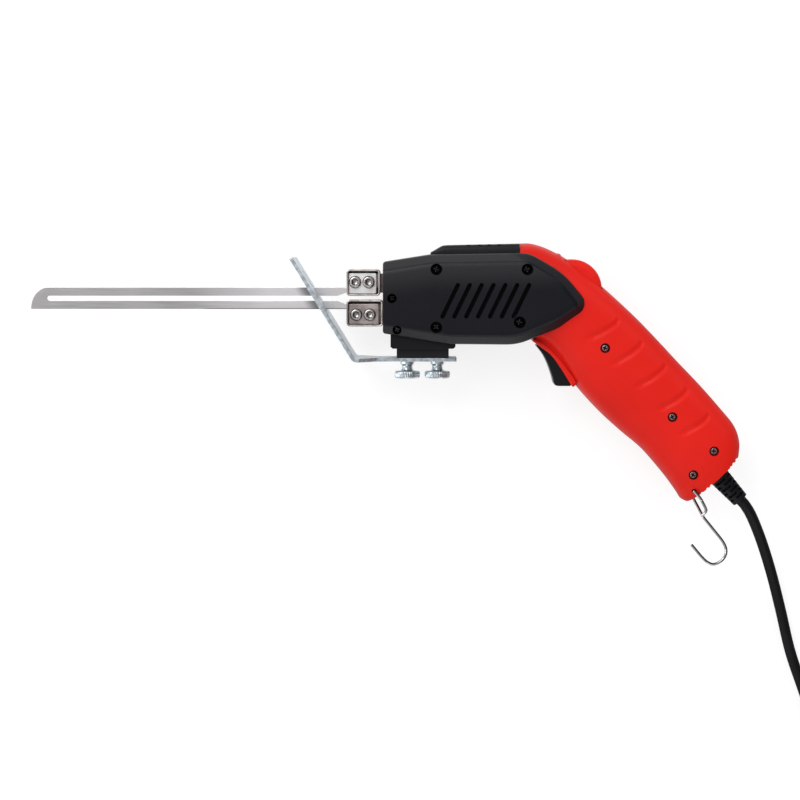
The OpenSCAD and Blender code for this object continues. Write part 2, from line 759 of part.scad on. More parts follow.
module left_handle_shell() {
  color("#d8261c") lift() handle_shell() {
    rod(dial_at, shaft_d + 5, dial_width / 2 + curve_gap + 0.2, handle_thickness / 2 - 2.4);
    union() {
      rod(dial_at, shaft_d + 2 * fixed_gap, -1, dial_width / 2 + 3);
      for (q = handle_screws_at) {
        z = handle_height(q[0], q[1]) - 3;
        rod(handle_point(q[0], q[1]), small_screw_d + 0.6, -1, half);
        rod(handle_point(q[0], q[1]), small_hole_d, z, half);
      }
    }
  }
}
module right_handle_shell() {
  color("#d8261c") lift() mirror([0, 0, 1]) handle_shell() {
    union() {
      rod(dial_at, 9, dial_width / 2 + pot_depth + fixed_gap, handle_thickness / 2 - 2.6);
      for (i = [-1, 1]) rod(board_place(i * 11, 0), 4, 7 + fixed_gap, 16.4);
      rod(switch_center(), 8, switch_size[2] / 2 + fixed_gap, 14.6);
      at(end_at + end_axis * clamp_at) facing(end_axis)
        box(-4, 4, -9, 9, cord_d / 2 + fixed_gap, 15.2);
    }
    union() {
      for (q = handle_screws_at)
        rod(handle_point(q[0], q[1]), small_screw_d + 2 * fixed_gap, -1, 12);
      for (p = clamp_screw_places()) rod(p, small_screw_d + 2 * fixed_gap, -1, 12);
    }
  }
}
module handle_screws() {
  color("#8d8f94") lift() for (q = handle_screws_at) {
    z = handle_height(q[0], q[1]) - 3;
    screw(handle_point(q[0], q[1]), small_screw_d, small_hole_d - 2 * fixed_gap - 0.2, z, -11, 1.8);
  }
}

// Dial and potentiometer
module temperature_dial() {
  r = dial_d / 2;
  w = dial_width / 2;
  color("#d8261c") lift() at(dial_at) difference() {
    rotate_extrude($fn = 96) polygon(concat(
      [[shaft_d / 2 + running_gap, -w], [r - 3, -w]],
      [for (i = [1:5]) [r - 3 + 3 * sin(18 * i), -w + 3 - 3 * cos(18 * i)]],
      [for (i = [5:-1:1]) [r - 3 + 3 * sin(18 * i), w - 3 + 3 * cos(18 * i)]],
      [[r - 3, w], [shaft_d / 2 + running_gap, w]]
    ));
  }
}
module potentiometer() {
  w = dial_width / 2 + curve_gap + 0.2;
  color("#3f5f8a") lift() {
    rod(dial_at, pot_d, -dial_width / 2 - pot_depth, -w);
    rod(dial_at, shaft_d, -w - e, dial_width / 2 + 2.8);
  }
}

// Control board
function board_way() = [0.682, -0.731];
function board_place(a, b) = [109, -46.5] + board_way() * a + left_of(board_way()) * b;
module control_board() {
  color("#2c6b3c") lift() {
    at(board_place(0, 0)) facing(board_way()) {
      box(-14, 14, -10, 10, -7, -5.4);
      box(-12, -4, -8, 8, -5.4 - e, 4);
      box(6, 9, -8, 3, -5.4 - e, 6);
    }
    rod(board_place(1, 0), 8, -5.4 - e, 5);
  }
}

// Trigger, pin, switch and plunger
module trigger() {
  w = trigger_width / 2;
  color("#1d1e21") lift() difference() {
    union() {
      translate([0, 0, -w]) linear_extrude(trigger_width)
        polygon(concat(smooth(trigger_front, 18), smooth(trigger_back, 8), [[57, -20]]));
      rod(pivot, trigger_pin_d + 5, -w, w);
    }
    rod(pivot, trigger_pin_d + 2 * running_gap, -20, 20);
  }
}
module trigger_pin() {
  reach = trigger_width / 2 + curve_gap + 2.8;
  color("#b9b9b4") lift() rod(pivot, trigger_pin_d, -reach, reach);
}
function switch_center() = push_at + push_axis * (switch_front + switch_size[0] / 2);
module switch_body() {
  s = switch_size;
  color("#2b2b30") lift() at(push_at) facing(push_axis) difference() {
    translate([switch_front, -s[1] / 2, -s[2] / 2]) cube(s);
    translate([switch_front - 1, 0, 0]) rotate([0, 90, 0])
      cylinder(d = plunger_d + 2 * running_gap, h = s[0], $fn = 40);
  }
}
module switch_plunger() {
  color("#e8e2d2") lift() at(push_at) facing(push_axis) translate([push_gap, 0, 0]) rotate([0, 90, 0])
    cylinder(d = plunger_d, h = switch_front + 5 - push_gap, $fn = 40);
}

// Cord clamp, strain relief and leads
function clamp_screw_places() =
  [for (s = [-1, 1]) end_at + end_axis * clamp_at + end_side * s * 6.2];
module cord_clamp() {
  color("#2a2b2f") lift() difference() {
    at(end_at + end_axis * clamp_at) facing(end_axis)
      box(-4, 4, -9, 9, cord_d / 2 + fixed_gap, cord_d / 2 + 2.6);
    for (p = clamp_screw_places()) rod(p, small_screw_d + 0.4, -20, 20);
  }
}
module clamp_screws() {
  z = cord_d / 2 + 2.6;
  color("#8d8f94") lift() for (p = clamp_screw_places()) screw(p, small_screw_d, 4.4, z, -11, 1.6);
}
module strain_relief() {
  hole = cord_d / 2 + fixed_gap;
  wall_r = relief_hole_d / 2;
  ribs = [0, 1, 2, 3];
  color("#1c1d20") lift() at(end_at) facing(end_axis) rotate([0, 90, 0]) rotate_extrude($fn = 48)
    polygon(concat(
      [[hole, -7], [7.4, -7], [7.4, -3.4], [wall_r, -3.4], [wall_r, 0.4], [5.9, 0.4], [5.9, 2.6]],
      [for (i = ribs) each [[4.5 - 0.2 * i, 2.6 + 3.1 * i], [4.5 - 0.2 * i, 3.6 + 3.1 * i],
        [5.6 - 0.28 * i, 3.6 + 3.1 * i], [5.6 - 0.28 * i, 5.7 + 3.1 * i]]],
      [[4.6, 15], [4.6, relief_end], [hole, relief_end]]
    ));
}
function core_end(t, z) =
  let (p = end_at + end_axis * (cord_start - fixed_gap + t)) [p[0], p[1], z];
module live_lead() {
  s = switch_center();
  color("#7a4a2b") lift() tube(concat([core_end(0, 1.4)], smooth([core_end(-3, 1.4), [127.5, -71.8, 3],
    [119, -66.5, 6], [108, -57, 9], [98, -48, 9], [s[0] + 3, s[1] - 2, 8], [s[0] + 1, s[1] - 1, 7.9]], 24)), 1.6, 6);
}
module neutral_lead() {
  color("#3b5f9a") lift() tube(concat([core_end(0, -1.4)], smooth([core_end(-3, -1.4), [132.6, -68, 0],
    [132, -60, 3], [124, -50, 7.5], [112, -40, 9.6], [100, -28.6, 9.8], [89.4, -17.6, 10], [76, -15.5, 11],
    [62, -6, 12.4], [50, 1, 12.4], [42, -3, 13], [36, -6, 14.6], [32.6, -6, 15.2]], 44)), 1.6, 6);
}

// Hook
module hook() {
  reach = 16.8;
  r = hook_wire_d / 2;
  far_leg = [[139.5, -104.3, -reach], [141.2, -107.8, -reach], [142.6, -110.8, 1 - reach],
    [144.6, -115.6, -7], [146.4, -119.8, -0.9], [147.6, -121.6, 0]];
  shank = [[152, -127, 0], [157.4, -133.8, 0], [159.4, -138, 0], [159.2, -141.6, 0], [157, -144.8, 0],
    [153, -146.8, 0], [149.6, -145.8, 0], [146.4, -143, 0], [141.9, -137.7, 0], [140.4, -135.9, 0]];
  near_leg = [[139.5, -104.3, reach], [142.2, -107.4, reach], [143.8, -109.8, reach - 1],
    [147, -114.8, 7], [147.6, -117, 3.4], [146, -119.2, 2]];
  color("#c4bfbb") lift() {
    rod(hook_at, hook_wire_d, -reach - r, reach + r);
    tube(concat([far_leg[0] + [-0.3, 0.3, 0]], smooth(concat(far_leg, shank), 60)), hook_wire_d, 8);
    tube(concat([near_leg[0] + [-0.3, 0.3, 0]], smooth(near_leg, 20)), hook_wire_d, 8);
  }
}

// Cord on the floor, measured from the plane z = 0
function end_point(t) =
  [end_at[0] + end_axis[0] * t, end_at[1] + end_axis[1] * t, half];
floor_z = cord_d / 2 + 0.05;
cord_route = [
  end_point(relief_end), [170, -114.2, 24.2], [174.4, -121.4, 21], [181, -136, 14],
  [187.6, -154.5, 8], [193.8, -176, floor_z + 0.6], [199.6, -199.5, floor_z],
  [207, -221, floor_z], [213.4, -239, floor_z + 0.3], [216, -252, coil_z], [216, -258, coil_z]
];
module cord_lead() {
  color("#17181a") tube(concat([end_point(cord_start), end_point(0)], smooth(cord_route, 20)), cord_d, cord_sides);
}
coil_half = coil_turns / 2;
function coil_radius_at(k) =
  coil_radius - coil_pitch * (coil_half - sqrt(pow(k - coil_half, 2) + 0.01));
function coil_level(k) =
  let (t = min(max((k - coil_half) * 2 + 0.5, 0), 1))
  coil_z + coil_step * t * t * (3 - 2 * t);
function coil_point(k) =
  let (a = 180 + 360 * k, r = coil_radius_at(k))
  [coil_center[0] + r * cos(a), coil_center[1] + r * sin(a), coil_level(k)];
coil_count = 24 * coil_turns;
coil_start = coil_point(0);
coil_finish = coil_point(coil_turns);
coil_path = concat(
  [coil_start + [0, cord_d, 0]],
  [for (i = [0:coil_count]) coil_point(i / 24)],
  [coil_finish + [0, cord_d, 0]]
);
coil_gap = min([
  for (i = [0:6:coil_count - 14])
    min([for (j = [i + 14:coil_count]) norm(coil_point(i / 24) - coil_point(j / 24))])
    - cord_d
]);
echo(coil_least_gap = coil_gap);
module cord_coil() {
  color("#17181a") tube(coil_path, cord_d, coil_sides);
}
tail_route = [
  coil_finish + [0, cord_d, 0], coil_finish + [0, cord_d + 6, 0], coil_finish + [0, 28, -1.2],
  tail_end - [0, 12, -0.4], tail_end - [0, 5, 0], tail_end
];
module cord_tail() {
  color("#17181a") tube(smooth(tail_route, 8), cord_d, cord_sides);
}
module cord_tie() {
  r1 = coil_radius_at(0.75) + cord_d / 2 + 0.7;
  r0 = coil_radius_at(coil_half - 0.5) - cord_d / 2 - 0.7;
  h = cord_d + coil_step;
  m = (r0 + r1) / 2;
  color("#33353a") translate([coil_center[0] - tie_width / 2, coil_center[1] + m, floor_lift + h / 2])
    rotate([90, 0, 90]) linear_extrude(tie_width) difference() {
      polygon(rounded(box_corners(r1 - r0 + 1.6, h + 2 * floor_lift, 2.4)));
      polygon(rounded(box_corners(r1 - r0, h + 2 * floor_lift - 1.6, 1.6)));
    }
}

// Plug
module plug_body() {
  face_y = tail_end[1] + plug_length;
  color("#1b1c1f") difference() {
    union() {
      hull() {
        translate([tail_end[0] - plug_width / 2, face_y - 14, 0.4]) cube([plug_width, 14, plug_thickness - 0.8]);
        translate([tail_end[0] - plug_width / 2 + 1.4, face_y - 14, 0]) cube([plug_width - 2.8, 14, plug_thickness]);
        translate([tail_end[0] - 8, face_y - 28, 0.6]) cube([16, 1, plug_thickness - 1.2]);
      }
      translate([tail_end[0], face_y - 27.5, plug_thickness / 2]) down_y() cylinder(d = 10, h = plug_length - 27.5, $fn = 40);
    }
    for (s = [-0.5, 0.5]) translate([tail_end[0] + s * plug_pin_pitch, face_y + 1, plug_thickness / 2])
      down_y() cylinder(d = plug_root_d + 2 * fixed_gap, h = 9.2, $fn = 40);
  }
}
module plug_pins() {
  face_y = tail_end[1] + plug_length;
  r = plug_pin_d / 2;
  color("#c9b47a") for (s = [-0.5, 0.5])
    translate([tail_end[0] + s * plug_pin_pitch, face_y - 8, plug_thickness / 2]) rotate([-90, 0, 0])
      rotate_extrude($fn = 40) polygon([[0, 0], [plug_root_d / 2, 0], [plug_root_d / 2, 8], [r, 8],
        [r, 7 + plug_pin_length], [r - 0.9, 8 + plug_pin_length], [0, 8 + plug_pin_length]]);
}

left_nose_shell();
right_nose_shell();
top_vent_cover();
foot_block();
left_handle_shell();
right_handle_shell();
terminal_insulator();
upper_busbar();
lower_busbar();
upper_terminal_tray();
lower_terminal_tray();
upper_clamp_plate();
lower_clamp_plate();
terminal_screws();
blade();
guide_plate();
front_thumb_screw();
rear_thumb_screw();
thumb_screw_nuts();
transformer_core();
winding_bobbin();
primary_winding();
secondary_strap();
temperature_dial();
potentiometer();
control_board();
trigger();
trigger_pin();
switch_body();
switch_plunger();
cord_clamp();
clamp_screws();
strain_relief();
hook();
body_screws();
nose_screws();
handle_screws();
live_lead();
neutral_lead();
cord_lead();
cord_coil();
cord_tail();
cord_tie();
plug_body();
plug_pins();
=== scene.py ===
"""Looks of the electric hot knife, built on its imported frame.

Lengths in the classes are millimetres in the frame of the part: +X runs from
the blade tip to the handle, +Y is the top of the tool, and z is measured from
the middle plane of the tool unless a docstring says otherwise.
"""
import logging
import math
from dataclasses import dataclass
from enum import Enum
from typing import Any, Callable, Iterable, Sequence

import bmesh
import bpy
import numpy as np
from mathutils import Matrix, Vector


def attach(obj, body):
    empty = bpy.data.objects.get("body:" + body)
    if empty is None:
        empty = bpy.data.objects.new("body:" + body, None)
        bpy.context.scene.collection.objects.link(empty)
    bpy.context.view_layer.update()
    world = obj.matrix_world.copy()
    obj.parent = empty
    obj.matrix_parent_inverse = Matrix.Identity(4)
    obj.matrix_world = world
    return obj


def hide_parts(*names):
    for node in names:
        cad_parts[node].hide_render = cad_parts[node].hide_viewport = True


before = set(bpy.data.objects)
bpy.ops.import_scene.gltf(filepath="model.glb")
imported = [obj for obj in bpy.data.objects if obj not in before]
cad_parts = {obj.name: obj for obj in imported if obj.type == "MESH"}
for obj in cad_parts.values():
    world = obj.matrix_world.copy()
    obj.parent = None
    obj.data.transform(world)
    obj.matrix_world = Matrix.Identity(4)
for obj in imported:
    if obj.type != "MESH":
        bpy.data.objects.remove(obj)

log = logging.getLogger("hot_knife")
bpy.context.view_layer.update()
Array = np.ndarray
Points = Sequence[Sequence[float]]
Colour = tuple[float, float, float]
Place = tuple[float, float, float]

# Height of the middle plane above the floor
MIDDLE = 25.0

# Attribute of a point's share of a finish's second shade: painted glints on some pieces, painted shade on
# others
PAINTED_LIGHT_SHARE = "recess"

# Places of the thumb screws along x, and rows that lay z along -y
SCREW_X = (-16.5, 0.0)
DOWN = np.array([[1, 0, 0], [0, 0, 1], [0, -1, 0]])

# Where the cord leaves the handle, its way out, and rows that lay z along it
CORD_EXIT = (154.7, -97.5)
CORD_WAY = (0.676, -0.737)
CORD_ROWS = np.array([[0, 0, -1], [-CORD_WAY[1], CORD_WAY[0], 0], [*CORD_WAY, 0]])

# Cross hole of the hook
HOOK_AT = (139.5, -104.3)

# Edges of the black face that bound its painted light, in metres: normal x, normal y and distance of a line
TOP_LINES = ((-0.017, 1.0, 0.0241), (-0.157, 1.0, 0.0246))
RIGHT_LINES = ((0.4986, 0.8667, 0.0460), (0.7738, 0.6335, 0.0613))


class Body(str, Enum):
    """Bodies of the part that a piece can ride on."""

    HOUSING = "housing"
    GUIDE = "guide"
    FRONT_SCREW = "front_screw"
    REAR_SCREW = "rear_screw"
    DIAL = "dial"
    TRIGGER = "trigger"
    HOOK = "hook"


class Side(Enum):
    """Half of a shell: the left one faces up, the right one lies on the floor."""

    LEFT = 1.0
    RIGHT = -1.0


# Shader sockets and nodes


class Wire:
    """Output of a shader node whose arithmetic adds Math nodes."""

    def __init__(self, graph: "Graph", socket: bpy.types.NodeSocket) -> None:
        """Keeps the socket and the tree that it belongs to."""
        self.graph = graph
        self.socket = socket

    def _math(self, operation: str, first: Any, second: Any = 0.0) -> "Wire":
        """Adds one Math node on two values, each a Wire or a number."""
        return self.graph.node("ShaderNodeMath", {"operation": operation}, {0: first, 1: second})

    def __add__(self, other: Any) -> "Wire":
        """Sum."""
        return self._math("ADD", self, other)

    __radd__ = __add__

    def __sub__(self, other: Any) -> "Wire":
        """Difference."""
        return self._math("SUBTRACT", self, other)

    def __rsub__(self, other: Any) -> "Wire":
        """Reflected difference."""
        return self._math("SUBTRACT", other, self)

    def __mul__(self, other: Any) -> "Wire":
        """Product."""
        return self._math("MULTIPLY", self, other)

    __rmul__ = __mul__

    def step(self, low: float, high: float) -> "Wire":
        """Smooth change from 0 at low to 1 at high.

        Args:
            low: value where the step starts.
            high: value where the step ends.

        Returns:
            The eased value from 0 to 1.
        """
        return self.graph.node(
            "ShaderNodeMapRange",
            {"interpolation_type": "SMOOTHSTEP"},
            {0: self, 1: low, 2: high, 3: 0.0, 4: 1.0},
        )


class Graph:
    """Node tree with one method that adds nodes."""

    def __init__(self, tree: bpy.types.NodeTree) -> None:
        """Keeps the tree."""
        self.tree = tree

    def set(self, socket: bpy.types.NodeSocket, value: Any) -> None:
        """Gives a socket a link or a constant value."""
        if isinstance(value, Wire):
            self.tree.links.new(value.socket, socket)
        elif isinstance(value, tuple) and len(value) == 3 and socket.type == "RGBA":
            socket.default_value = (*value, 1.0)
        else:
            socket.default_value = value

    def node(self, kind: str, settings: dict[str, Any], inputs: dict[Any, Any], out: Any = 0) -> Wire:
        """Adds a node.

        Args:
            kind: type name of the node.
            settings: properties that are set first.
            inputs: sockets by name or number, with their values or links.
            out: name or number of the output to return.

        Returns:
            The chosen output.
        """
        node = self.tree.nodes.new(kind)
        for key, value in settings.items():
            setattr(node, key, value)
        for key, value in inputs.items():
            self.set(node.inputs[key], value)
        return Wire(self, node.outputs[out])


class Shade(Graph):
    """Node tree of one material."""

    def __init__(self, name: str) -> None:
        """Starts a material with an empty Principled shader."""
        self.material = bpy.data.materials.new(name)
        self.material.use_nodes = True
        super().__init__(self.material.node_tree)
        self.tree.nodes.clear()
        self.skin = self.tree.nodes.new("ShaderNodeBsdfPrincipled")
        out = self.tree.nodes.new("ShaderNodeOutputMaterial")
        self.tree.links.new(self.skin.outputs[0], out.inputs[0])

    def place(self, scale: Place = (1, 1, 1)) -> Wire:
        """Object coordinates, stretched along each axis."""
        own = self.node("ShaderNodeTexCoord", {}, {}, "Object")
        return self.node("ShaderNodeMapping", {}, {0: own, "Scale": scale})

    def noise(self, scale: float, detail: float = 3.0, place: Wire | None = None) -> Wire:
        """Noise about 0.5: cycles per metre, octaves and coordinates, or None for the object's own."""
        where = place or self.place()
        return self.node("ShaderNodeTexNoise", {}, {0: where, "Scale": scale, "Detail": detail})

    def axis(self, which: int) -> Wire:
        """One object coordinate in metres, 0 for x, 1 for y and 2 for z."""
        place = self.node("ShaderNodeTexCoord", {}, {}, "Object")
        return self.node("ShaderNodeSeparateXYZ", {}, {0: place}, which)

    def margin(self, *lines: Place) -> Wire:
        """Smaller distance inside two lines, each a normal x, a normal y and a distance from the origin."""
        first, second = (far - (self.axis(0) * x + self.axis(1) * y) for x, y, far in lines)
        return self.node("ShaderNodeMath", {"operation": "MINIMUM"}, {0: first, 1: second})

    def mix(self, factor: Any, first: Any, second: Any) -> Wire:
        """Colour mixed from first at factor 0 to second at factor 1."""
        return self.node(
            "ShaderNodeMix", {"data_type": "RGBA", "clamp_factor": True}, {0: factor, 6: first, 7: second}, 2
        )

    def bump(self, height: Wire, strength: float, depth: float) -> Wire:
        """Normal raised by a share of a height from 0 to 1, over a depth in metres."""
        return self.node("ShaderNodeBump", {}, {"Height": height, "Strength": strength, "Distance": depth})

    def dress(self, **sockets: Any) -> bpy.types.Material:
        """Fills the Principled shader's sockets.

        Args:
            sockets: values or links by socket name with _ for a space.

        Returns:
            The finished material.
        """
        for key, value in sockets.items():
            self.set(self.skin.inputs[key.replace("_", " ")], value)
        return self.material


# Finishes


def scaled(colour: Colour, factor: float, lift: float = 0.0) -> Colour:
    """The colour times a factor plus a lift, no brighter than white."""
    return tuple(min(1.0, c * factor + lift) for c in colour)


@dataclass(frozen=True)
class Moulded:
    """Moulded plastic or rubber with a fine spark-eroded grain."""

    name: str
    colour: Colour
    rough: float
    grain: float = 1500.0
    relief: float = 0.00006
    scuff: float = 0.12
    shine: float = 0.5
    # Lift of painted light at the top of the black face, 0 for none
    dust_and_painted_light: float = 0.0

    def material(self) -> bpy.types.Material:
        """Plastic whose colour drifts slightly, with grain in its gloss and surface and, where set, painted
        light.
        """
        s = Shade(self.name)
        drift = s.noise(22.0, 2.0)
        fine = s.noise(self.grain, 2.0)
        rub = s.noise(160.0, 5.0).step(0.58, 0.78)
        dark, pale = scaled(self.colour, 0.94), scaled(self.colour, 1.04, 0.001)
        colour = s.mix(drift.step(0.3, 0.7), dark, pale)
        # Painted light on the black face; its right border stays darker as painted shade
        if self.dust_and_painted_light:
            colour = s.mix(self.painted_light_share(s), colour, scaled(self.colour, 1.0, self.dust_and_painted_light))
        return s.dress(
            Base_Color=colour,
            Roughness=fine * 0.16 + rub * self.scuff + (self.rough - 0.1),
            Normal=s.bump(fine, 0.5, self.relief),
            Specular_IOR_Level=self.shine,
        )

    @staticmethod
    def painted_light_share(s: Shade) -> Wire:
        """Share of painted light from above: most at the top of the face, less on its top border, none on its
        right one.
        """
        top, right = s.margin(*TOP_LINES), s.margin(*RIGHT_LINES)
        fade = 1 - top.step(0.0045, 0.022)
        border = top.step(0.0042, 0.0052) * 0.45 + 0.55
        return fade * border * right.step(0.0044, 0.0054)


@dataclass(frozen=True)
class Brushed:
    """Metal blade with fine lines along x. Places are metres along the axes.

    A paler stretch is a painted highlight, a dark band whose x moves with y is the guide's
    painted shade, the legs are painted dark inside the trays as painted shade, and the edge is
    a dark line at the cutting side.
    """

    name: str
    colour: Colour
    rough: float
    legs: tuple[float, float]
    edge: Place
    painted_highlight: tuple[float, float]
    painted_guide_shade: tuple[float, float]
    lines: float = 1800.0
    spread: float = 0.3

    def material(self) -> bpy.types.Material:
        """Metal streaked along x, with a painted highlight, painted shade and a dark edge line."""
        s = Shade(self.name)
        streak = s.noise(1.0, 4.0, s.place((self.lines * 0.02, self.lines, self.lines)))
        broad = s.noise(1.0, 2.0, s.place((14.0, 160.0, 160.0)))
        cloud = s.noise(45.0, 3.0)
        low, high = scaled(self.colour, 1 - self.spread), scaled(self.colour, 1 + self.spread)
        colour = s.mix(streak * 0.55 + broad * 0.3 + cloud * 0.15, low, high)
        # Painted shade: a dark band just in front of the guide, where the guide darkens the blade
        x_at, lean = self.painted_guide_shade
        along = s.axis(0) + s.axis(1) * lean - x_at
        painted_shade_band = along.step(-0.006, 0.0012) * (1 - along.step(0.0024, 0.003))
        y_at, width, x_from = self.edge
        line = (1 - (s.axis(1) - y_at).step(0.0, width)) * s.axis(0).step(x_from - 0.004, x_from + 0.004)
        # Painted highlight along the blade, and painted shade on the legs inside the trays
        painted_highlight, legs = s.axis(0).step(*self.painted_highlight), s.axis(0).step(*self.legs)
        for share, factor in ((painted_highlight, 1.7), (painted_shade_band * 0.75, 0.2), (legs, 0.06), (line, 0.12)):
            colour = s.mix(share, colour, scaled(self.colour, factor))
        rough = streak * 0.22 + cloud * 0.1 + (self.rough - 0.16)
        return s.dress(Base_Color=colour, Metallic=1.0, Roughness=rough, Normal=s.bump(streak, 0.25, 0.00003))


@dataclass(frozen=True)
class Plated:
    """Plated metal with soft clouds and spots of tarnish."""

    name: str
    colour: Colour
    rough: float
    mottle: float = 140.0
    spread: float = 0.18
    tarnish: Colour = (0.24, 0.2, 0.17)
    worn: float = 0.25
    metal: float = 1.0

    def material(self) -> bpy.types.Material:
        """Metal mottled by two noises, with tarnish in spots."""
        s = Shade(self.name)
        cloud = s.noise(self.mottle, 4.0)
        fine = s.noise(self.mottle * 9, 3.0)
        low, high = scaled(self.colour, 1 - self.spread), scaled(self.colour, 1 + self.spread)
        colour = s.mix(cloud.step(0.35, 0.65), low, high)
        colour = s.mix(fine.step(0.62, 0.8) * self.worn, colour, self.tarnish)
        rough = fine * 0.14 + cloud * 0.12 + (self.rough - 0.12)
        return s.dress(
            Base_Color=colour, Metallic=self.metal, Roughness=rough, Normal=s.bump(fine, 0.2, 0.00004)
        )


@dataclass(frozen=True)
class Recessed:
    """Metal with a second, painted shade in a recess or on one side, for painted glints, painted shade and
    painted reflections.
    """

    name: str
    colour: Colour
    recess: Colour
    rough: float

    def material(self) -> bpy.types.Material:
        """Metal mixed towards the second, painted shade by the piece's own attribute."""
        s = Shade(self.name)
        inside = s.node("ShaderNodeAttribute", {"attribute_name": PAINTED_LIGHT_SHARE}, {}, "Fac")
        fine = s.noise(1400.0, 3.0)
        plain = s.mix(fine.step(0.35, 0.65), scaled(self.colour, 0.7), self.colour)
        colour = s.mix(inside, plain, self.recess)
        rough = fine * 0.2 + (self.rough - 0.1)
        return s.dress(Base_Color=colour, Metallic=1.0, Roughness=rough, Normal=s.bump(fine, 0.2, 0.00004))


@dataclass(frozen=True)
class Wound:
    """Layers of wire or sheet shown as fine bands across one axis."""

    name: str
    colour: Colour
    metal: float
    rough: float
    bands: float
    across: int

    def material(self) -> bpy.types.Material:
        """Bands from a sine of one coordinate, with a little noise."""
        s = Shade(self.name)
        wave = s.node("ShaderNodeMath", {"operation": "SINE"}, {0: s.axis(self.across) * self.bands})
        line = (wave * 0.5 + 0.5).step(0.1, 0.6)
        colour = s.mix(line * 0.7 + s.noise(300.0) * 0.3, scaled(self.colour, 0.45), self.colour)
        return s.dress(
            Base_Color=colour,
            Metallic=self.metal,
            Roughness=s.noise(500.0) * 0.2 + (self.rough - 0.1),
            Normal=s.bump(line, 0.6, 0.0002),
        )


@dataclass(frozen=True)
class Jacket:
    """Cord jacket with a faint lengthwise lay along its own map."""

    name: str
    colour: Colour
    rough: float

    def material(self) -> bpy.types.Material:
        """Rubber with soft rings and dust along the cord's own u and v."""
        s = Shade(self.name)
        own = s.node("ShaderNodeTexCoord", {}, {}, "UV")
        lay = s.noise(1.0, 3.0, s.node("ShaderNodeMapping", {}, {0: own, "Scale": (260.0, 9.0, 1.0)}))
        dust_and_painted_light = s.noise(70.0, 4.0).step(0.5, 0.8)
        colour = s.mix(dust_and_painted_light * 0.5, self.colour, scaled(self.colour, 1.7, 0.002))
        return s.dress(
            Base_Color=colour,
            Roughness=lay * 0.2 + dust_and_painted_light * 0.12 + (self.rough - 0.1),
            Normal=s.bump(lay, 0.35, 0.00012),
            Specular_IOR_Level=0.2,
        )


